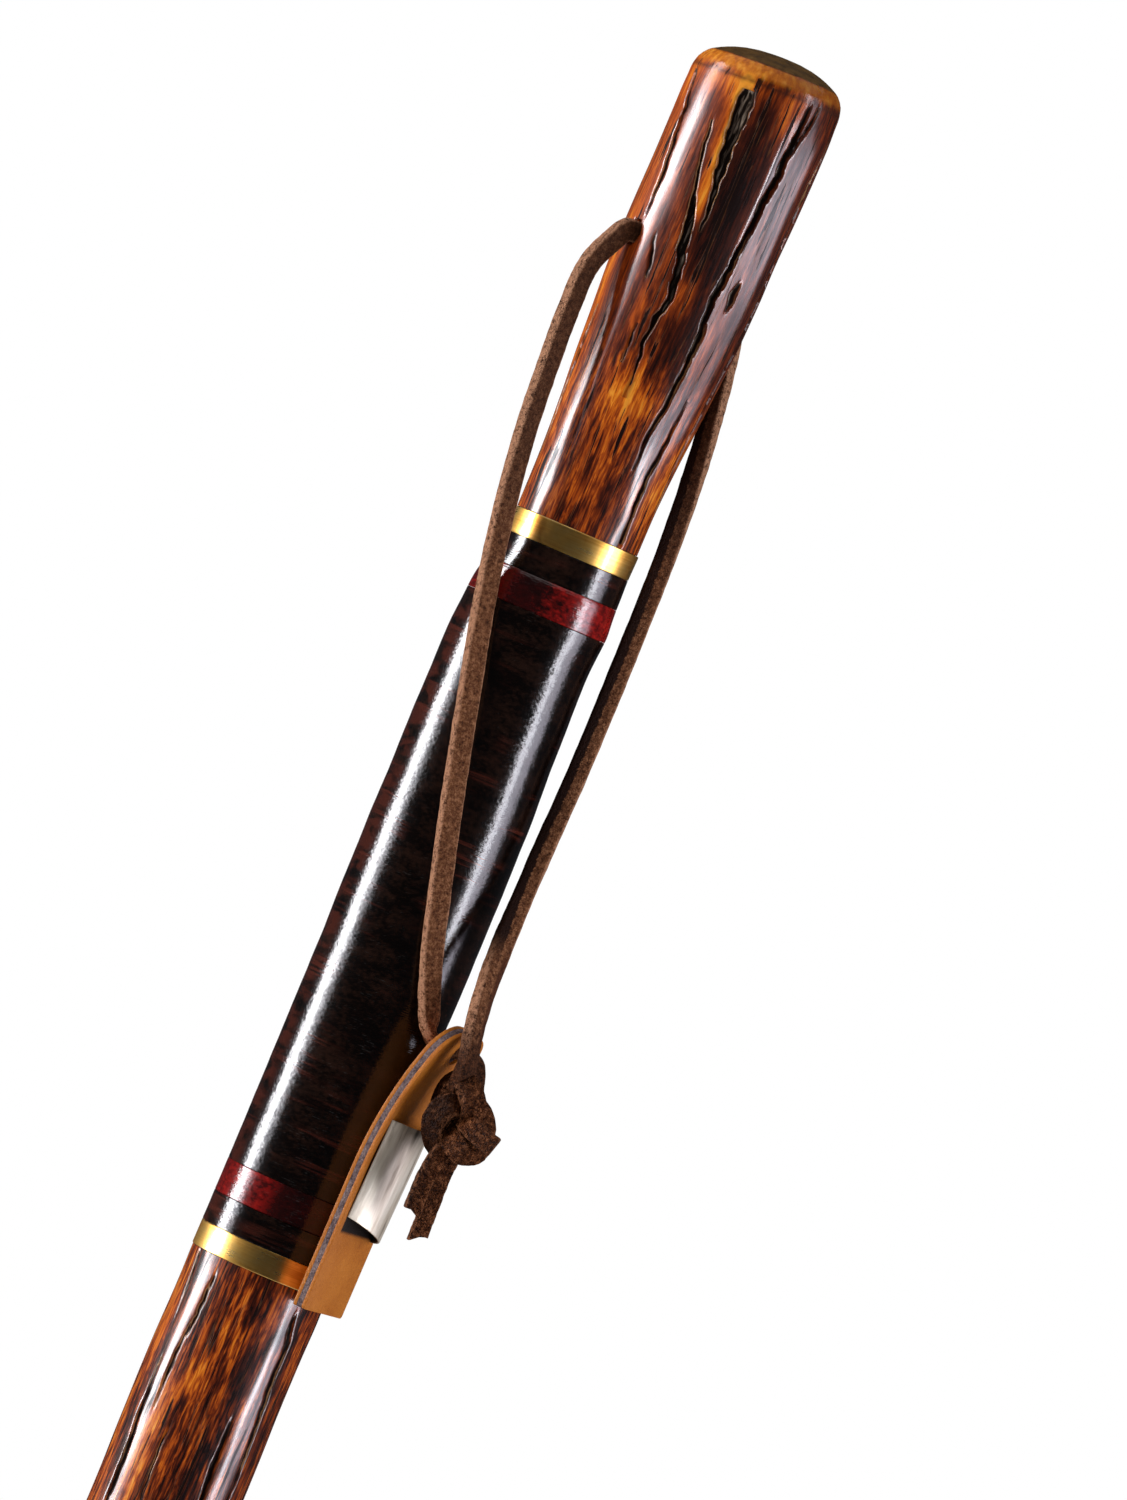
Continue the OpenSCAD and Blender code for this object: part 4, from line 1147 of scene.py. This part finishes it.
# The ferrule is a moulded rubber tip, pushed on over the stick's turned end. It flares to a wide foot with
# a rounded edge and two rings in its tread, and its socket stops on a steel washer.
ferrule_base = -1209.6
ferrule_h = 34
ferrule_r = 17.5
mouth_r = 14.7
socket_r = 11.55
edge_r = 2.4
floor_up = 8
tread_w, tread_depth = 2, 1.2
bead_out, bead_end = 0.12, 4.2
seat_r, seat_depth = 9.53, 1.2
ferrule_profile = [(0, 0)]
for r in (5.5, 10):
    ferrule_profile += [(r, 0), (r, tread_depth), (r + tread_w, tread_depth), (r + tread_w, 0)]
ferrule_profile += [
    (ferrule_r + edge_r * (math.cos(a) - 1), edge_r * (math.sin(a) + 1))
    for a in np.linspace(-math.pi / 2, 0, 7)
]
ferrule_profile += [(ferrule_r + bead_out, 3.0), (ferrule_r + bead_out, 3.7)]
ferrule_profile += [(ferrule_r - bead_out, bead_end)]
ferrule_profile += [
    (ferrule_r + (mouth_r - ferrule_r) * share, bead_end + (ferrule_h - 5.2) * share)
    for share in np.linspace(0.06, 1, 12)
]
ferrule_profile += [(mouth_r - 0.15, ferrule_h - 0.35), (mouth_r - 0.6, ferrule_h)]
ferrule_profile += [(socket_r + 0.5, ferrule_h), (socket_r, ferrule_h - 0.5)]
ferrule_profile += [(socket_r, floor_up), (seat_r, floor_up)]
ferrule_profile += [(seat_r, floor_up - seat_depth), (0, floor_up - seat_depth)]


def turned_at_foot(name, profile, low, sides):
    """A turned piece on the stick's end, which the crook carries to the right."""
    piece = turned(name, [(r, z + low) for r, z in profile], sides)
    for point in piece.data.vertices:
        point.co.x += crook / 1000
    return piece


ferrule = turned_at_foot("ferrule_rubber", ferrule_profile, ferrule_base, 144)
rubber = Finish("grey_brown_rubber")
bloom = rubber.varied(rubber.grain(70, 50, 4.0), rubber.grain(1400, 1400, 3.0), 0.4)
rubber.give(
    Base_Color=rubber.ramp(bloom, [
        (0.3, (0.105, 0.070, 0.056)), (0.5, (0.155, 0.108, 0.088)), (0.75, (0.23, 0.165, 0.14)),
    ]),
    Roughness=rubber.spread(bloom, 0.62, 0.46),
)
rubber.bump(bloom, 0.0003, 0.35)
fit(ferrule, rubber, "ferrule", "ferrule")


# The washer is a stamped steel disc with a hole. It lies loose in the bottom of the ferrule's socket and
# keeps the stick's end off the rubber.
washer_profile = [
    (3, 0.1), (3.1, 0), (9.4, 0), (9.5, 0.1), (9.5, 1.0), (9.35, 1.15), (3.15, 1.15), (3, 1.0), (3, 0.1),
]
washer = turned_at_foot("washer_steel", washer_profile, ferrule_base + floor_up - seat_depth, 96)
steel = Finish("zinc_plated_steel")
dull = steel.grain(500, 500, 4.0)
steel.give(
    Base_Color=steel.ramp(dull, [(0.3, (0.38, 0.38, 0.37)), (0.7, (0.66, 0.66, 0.65))]),
    Roughness=steel.spread(dull, 0.45, 0.25), Metallic=1.0,
)
fit(washer, steel, "ferrule", "ferrule_washer")


# The studio: a pale round floor, white all round, a tall soft light at each side, and dark screens that
# only the gloss sees. The floor lies far enough down for the ferrule to be pulled off above it.
floor_drop = 0.034
floor_r = 1.1
bpy.ops.object.select_all(action="DESELECT")
bpy.ops.mesh.primitive_circle_add(
    vertices=128, radius=floor_r, fill_type="NGON", location=(0, 0, ferrule_base / 1000 - floor_drop)
)
ground = bpy.context.object
ground.name = "floor"
bpy.ops.object.transform_apply(location=True, rotation=True, scale=True)


def seen_only(nodes):
    """1 for the camera and for reflections, and 0 for the light that falls on the staff."""
    path = nodes.put("LightPath").outputs
    seen = nodes.sums("MAXIMUM", path["Is Camera Ray"], path["Is Glossy Ray"])
    return nodes.sums("MAXIMUM", seen, path["Is Transmission Ray"])


pale = Finish("pale_floor")
pale.give(
    Base_Color=(0.72, 0.72, 0.72), Roughness=0.9, Specular_IOR_Level=0.0,
    Emission_Color=seen_only(pale), Emission_Strength=0.34,
)
ground.data.materials.append(pale.material)

bpy.ops.mesh.primitive_cylinder_add(
    vertices=64, radius=3.2, depth=5, end_fill_type="NOTHING", location=(0, 0, 0.6)
)
screens = bpy.context.object
screens.name = "dark_screens"
bpy.ops.object.transform_apply(location=True, rotation=True, scale=True)
dark = Finish("dark_screens")
dark.tree.nodes.remove(dark.shader)
glow = dark.put("Emission", None, Color=(0.03, 0.03, 0.034), Strength=1.0)
dark.feed(dark.tree.nodes["Material Output"].inputs["Surface"], glow.outputs[0])
screens.data.materials.append(dark.material)
screens.visible_camera = False
screens.visible_diffuse = False
screens.visible_shadow = False
screens.visible_transmission = False


def soft_light(name, azimuth, distance, height, width, tall, radiance, colour, gloss):
    """A rectangular light that faces the grip, seen in the gloss or else lighting the staff."""
    light = bpy.data.lights.new(name, "AREA")
    light.shape = "RECTANGLE"
    light.size, light.size_y = width, tall
    light.energy = radiance * math.pi * width * tall
    light.color = colour
    lamp = bpy.data.objects.new(name, light)
    bpy.context.collection.objects.link(lamp)
    a = math.radians(azimuth)
    lamp.location = (distance * math.sin(a), -distance * math.cos(a), height)
    inward = Vector((-lamp.location.x, -lamp.location.y, 0))
    lamp.rotation_euler = inward.to_track_quat("-Z", "Y").to_euler()
    lamp.visible_camera = False
    lamp.visible_glossy = gloss
    lamp.visible_diffuse = not gloss


# Azimuth from the front to the right, distance, height, width, tallness, radiance and colour
soft_light("left_strip", -90, 1.6, 0.0, 0.50, 2.4, 22.0, (0.98, 0.98, 1.0), gloss=True)
soft_light("left_border", -86, 1.7, 0.0, 0.86, 2.4, 6.0, (0.92, 0.92, 1.0), gloss=True)
soft_light("right_strip", 70, 1.6, 0.0, 0.24, 2.4, 24.0, (0.92, 0.92, 1.0), gloss=True)
soft_light("right_border", 83, 1.7, 0.0, 0.52, 2.4, 6.4, (0.90, 0.86, 1.0), gloss=True)
soft_light("left_fill", -75, 1.8, 0.2, 1.2, 2.4, 4.4, (1, 0.97, 0.93), gloss=False)
soft_light("right_fill", 70, 1.8, 0.2, 1.0, 2.4, 3.4, (0.98, 0.98, 1), gloss=False)
soft_light("front_fill", -5, 2.2, 0.4, 1.2, 2.0, 0.6, (1, 1, 1), gloss=False)

world = bpy.data.worlds.new("studio")
bpy.context.scene.world = world
world.use_nodes = True
sky = Nodes(world.node_tree)
backdrop = sky.blend(seen_only(sky), (0.16, 0.16, 0.165), (1, 1, 1))
sky.feed(sky.tree.nodes["Background"].inputs["Color"], backdrop)
bpy.context.scene.view_settings.view_transform = "Standard"
